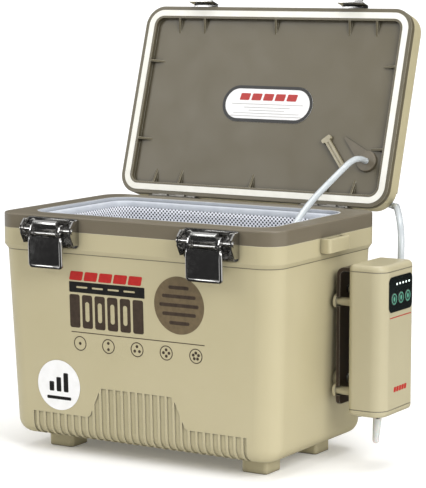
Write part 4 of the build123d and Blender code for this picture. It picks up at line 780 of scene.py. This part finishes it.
MARK_LEFT = -0.0597
MARK_PITCH = 0.0311
MARK_Z = 0.1076
MARK_RADIUS = 0.0068
MARK_HOLE = 0.0060
MARK_DOT = 0.0014
MARK_DOT_REACH = 0.0029
rings = []
for i in range(5):
    x = MARK_LEFT + MARK_PITCH * i
    rings.append((ellipse(x, MARK_Z, MARK_RADIUS, MARK_RADIUS), ellipse(x, MARK_Z, MARK_HOLE, MARK_HOLE)))
    reach = MARK_DOT_REACH if i else 0.0
    for spoke in range(i + 1):
        angle = pi / 2 + 2 * pi * spoke / (i + 1)
        rings.append(ellipse(x + reach * cos(angle), MARK_Z + reach * sin(angle), MARK_DOT, MARK_DOT, 16))
ink("round_marks", rings, on_front, brown_ink, "box", "sticker")

# ======================================================================= stickers
# A white round vinyl sticker low on the front, and a long one inside the lid with a dark edge. Both
# carry plain bars in place of words.


def vinyl(name, low, high):
    """Printed vinyl: smooth, white, softly glossy."""
    material, tree, shader = finish_shader(name, {"Roughness": 0.3, "IOR": 1.5, "Coat Weight": 0.2})
    where = add(tree, "ShaderNodeTexCoord").outputs["Object"]
    tree.links.new(mottle(tree, where, 0.01, low, high), shader.inputs["Base Color"])
    return material


white_vinyl = vinyl("white_vinyl", "E4E4E3", "EAEAEA")
dress(white_vinyl, "round_sticker", "lid_label")
STICKER_LIFT = 0.0004
STICKER_X = -0.085
STICKER_Z = 0.066
STICKER_BAR = 0.0052
STICKER_BAR_PITCH = 0.0080
STICKER_LINE_HALF = 0.0135
bar_foot = STICKER_Z - 0.006
sticker_marks = []
for i, height in enumerate((0.0090, 0.0135, 0.0180)):
    x = STICKER_X - 0.0105 + STICKER_BAR_PITCH * i
    sticker_marks.append(rounded_bar(x, x + STICKER_BAR, bar_foot, bar_foot + height, 0.0010))
line_ends = (STICKER_X - STICKER_LINE_HALF, STICKER_X + STICKER_LINE_HALF)
sticker_marks.append(rounded_bar(*line_ends, STICKER_Z - 0.0135, STICKER_Z - 0.0105, 0.0010))
ink("sticker_print", sticker_marks, on_front, black_ink, "box", "sticker",
    STICKER_LIFT, STICKER_LIFT + 0.0001)

HINGE = Vector((0.0, 0.1026, 0.2206))
LID_OPEN = radians(107.5)
LABEL_FACE = 0.2292
LABEL_X = 0.003


def on_open_lid(x, y, z):
    """Where a place on the shut lid stands when the lid is open."""
    dy = y - HINGE.y
    dz = z - HINGE.z
    turned_y = dy * cos(LID_OPEN) + dz * sin(LID_OPEN)
    turned_z = dz * cos(LID_OPEN) - dy * sin(LID_OPEN)
    return (x, HINGE.y + turned_y, HINGE.z + turned_z)


def on_label(u, v, lift):
    """A place on the lid's long label, from across and up as it is read with the lid open."""
    return on_open_lid(LABEL_X + u, -v, LABEL_FACE - lift)


def stadium(half, radius, steps=24):
    """Points round a bar with half-round ends."""
    angles = [pi * i / steps - pi / 2 for i in range(steps + 1)]
    right = [(half - radius + radius * cos(a), radius * sin(a)) for a in angles]
    return right + [(-x, -y) for x, y in right]


label_band = (stadium(0.0505, 0.0182), stadium(0.0474, 0.0151))
ink("label_edge", [label_band], on_label, black_ink, "lid", "label_white")
label_red = bar_row(-0.0320, 5, 0.0132, 0.0108, 0.0035, 0.0105, 0.0010, 0.2)
ink("label_print", label_red, on_label, red_ink, "lid", "label_white")
FINE_PITCH = 0.0029
FINE_HEIGHT = 0.0006
fine = [rounded_bar(-0.040, 0.040, -FINE_HEIGHT, 0.0, 0.0003)]
for i, half in enumerate((0.026, 0.020, 0.037, 0.040)):
    low = -0.0040 - FINE_PITCH * i
    fine.append(rounded_bar(-half, half, low, low + FINE_HEIGHT, 0.0002))
ink("label_lines", fine, on_label, printed_ink("grey_ink", "A9A6A6", "B4B1B0"), "lid", "label_white")

# ======================================================================= air pump
# A moulded case in the sand colour with a cap at each end, a little smoother than the box, on a dark
# brown bracket. Its control panel is glossy black, with pale lights and green rings round the buttons.
CAP_SEAMS = (0.056, 0.181)
# Each cap seam gets a painted shadow line.
pump_plastic = moulded_plastic("pump_abs", "ABA386", "AEA689", 0.32, 0.0009, 0.05, CAP_SEAMS)
dress(pump_plastic, "pump_housing", "pump_top_cap", "pump_bottom_cap")
dress(moulded_plastic("brown_abs", "2E231D", "372B25", 0.30, 0.0012, 0.08), "pump_bracket")
dress(moulded_plastic("dark_nylon", "2A2A2B", "343435", 0.5, 0.0010, 0.10),
      "battery_tray", "motor_mount", "pump_head", "motor_crank")
dress(moulded_plastic("button_abs", "131A18", "18211E", 0.35, 0.0010, 0.03),
      "press_button_left", "press_button_middle", "press_button_right")
dress(moulded_plastic("cell_wrap", "2F5F94", "386AA0", 0.3, 0.0020, 0.02), "battery_cells")
dress(moulded_plastic("stone_grit", "6C7B8C", "8593A2", 0.9, 0.0008, 0.9), "air_stone")
dress(soft_rubber("black_rubber", "161616", "202020", 0.6), "pump_diaphragm")
dress(silicone, "inside_air_tube")


def green_board():
    """Fibreglass circuit board under a green solder mask, with a faint net of tracks."""
    material, tree, shader = finish_shader("solder_mask", {"Roughness": 0.35})
    where = add(tree, "ShaderNodeTexCoord").outputs["Object"]
    greens = {"Color1": linear("1E6B3A"), "Color2": linear("257A44"), "Mortar": linear("3F9A5E")}
    tracks = add(tree, "ShaderNodeTexBrick", {"Scale": 220.0, **greens}, {"Vector": where})
    tree.links.new(tracks.outputs[0], shader.inputs["Base Color"])
    return material


def smoked_panel():
    """Polished black acrylic with faint smears."""
    material, tree, shader = finish_shader(
        "black_acrylic", {"IOR": 1.49, "Coat Weight": 0.6, "Coat Roughness": 0.05}
    )
    where = add(tree, "ShaderNodeTexCoord").outputs["Object"]
    tree.links.new(mottle(tree, where, 0.02, "0B100F", "111817"), shader.inputs["Base Color"])
    smears = add(tree, "ShaderNodeTexNoise", {"Scale": 120.0, "Detail": 4.0}, {"Vector": where})
    gloss = add(tree, "ShaderNodeMapRange", {"To Min": 0.08, "To Max": 0.28}, {"Value": smears.outputs[0]})
    tree.links.new(gloss.outputs[0], shader.inputs["Roughness"])
    return material


def lit_lens(name, colour, glow):
    """A small lens with a lamp behind it."""
    material, tree, shader = finish_shader(
        name, {"Roughness": 0.3, "Emission Color": linear(colour), "Emission Strength": glow}
    )
    where = add(tree, "ShaderNodeTexCoord").outputs["Object"]
    tree.links.new(mottle(tree, where, 0.002, colour, colour), shader.inputs["Base Color"])
    return material


def clear_plastic():
    """Injection-moulded clear styrene: milky and glossy."""
    material, tree, shader = finish_shader(
        "clear_styrene",
        {"Roughness": 0.18, "IOR": 1.55, "Subsurface Weight": 0.3, "Subsurface Scale": 0.004},
    )
    where = add(tree, "ShaderNodeTexCoord").outputs["Object"]
    tree.links.new(mottle(tree, where, 0.01, "BDC0BE", "CBCECB"), shader.inputs["Base Color"])
    return material


dress(green_board(), "circuit_board")
dress(smoked_panel(), "control_panel")
pale_light = lit_lens("pale_light", "EAF6F0", 1.2)
dress(pale_light, "status_lights")
dress(clear_plastic(), "intake_spout", "outlet_elbow", "grommet_tube")

PUMP_FACE_X = 0.206
BUTTON_FACE_X = 0.2066
BUTTON_PLACES = {"left": 0.0150, "middle": 0.0286, "right": 0.0422}
BUTTON_Z = 0.156
RING_RADIUS = 0.0048
RING_HOLE = 0.0041


def on_pump(u, v, lift):
    """A place on the pump's outer face, from across and up."""
    return (PUMP_FACE_X + lift, u, v)


def on_button(u, v, lift):
    """A place on a button's face."""
    return (BUTTON_FACE_X + lift, u, v)


green_glow = lit_lens("green_glow", "5FA48C", 0.25)
for side, y in BUTTON_PLACES.items():
    ring = (ellipse(y, BUTTON_Z, RING_RADIUS, RING_RADIUS), ellipse(y, BUTTON_Z, RING_HOLE, RING_HOLE))
    mark = ellipse(y, BUTTON_Z, 0.0013, 0.0022, 24)
    ink(f"button_ring_{side}", [ring, mark], on_button, green_glow, f"button_{side}", "light_lens",
        -0.00003, 0.00008)
pump_line = rounded_bar(0.0075, 0.0500, 0.1388, 0.1396, 0.0003)
ink("pump_line", [pump_line], on_pump, red_ink, "box", "sticker")
badge = bar_row(0.0165, 5, 0.0052, 0.0042, 0.0712, 0.0757, 0.0006, 0.2)
ink("pump_badge", badge, on_pump, red_ink, "box", "sticker")
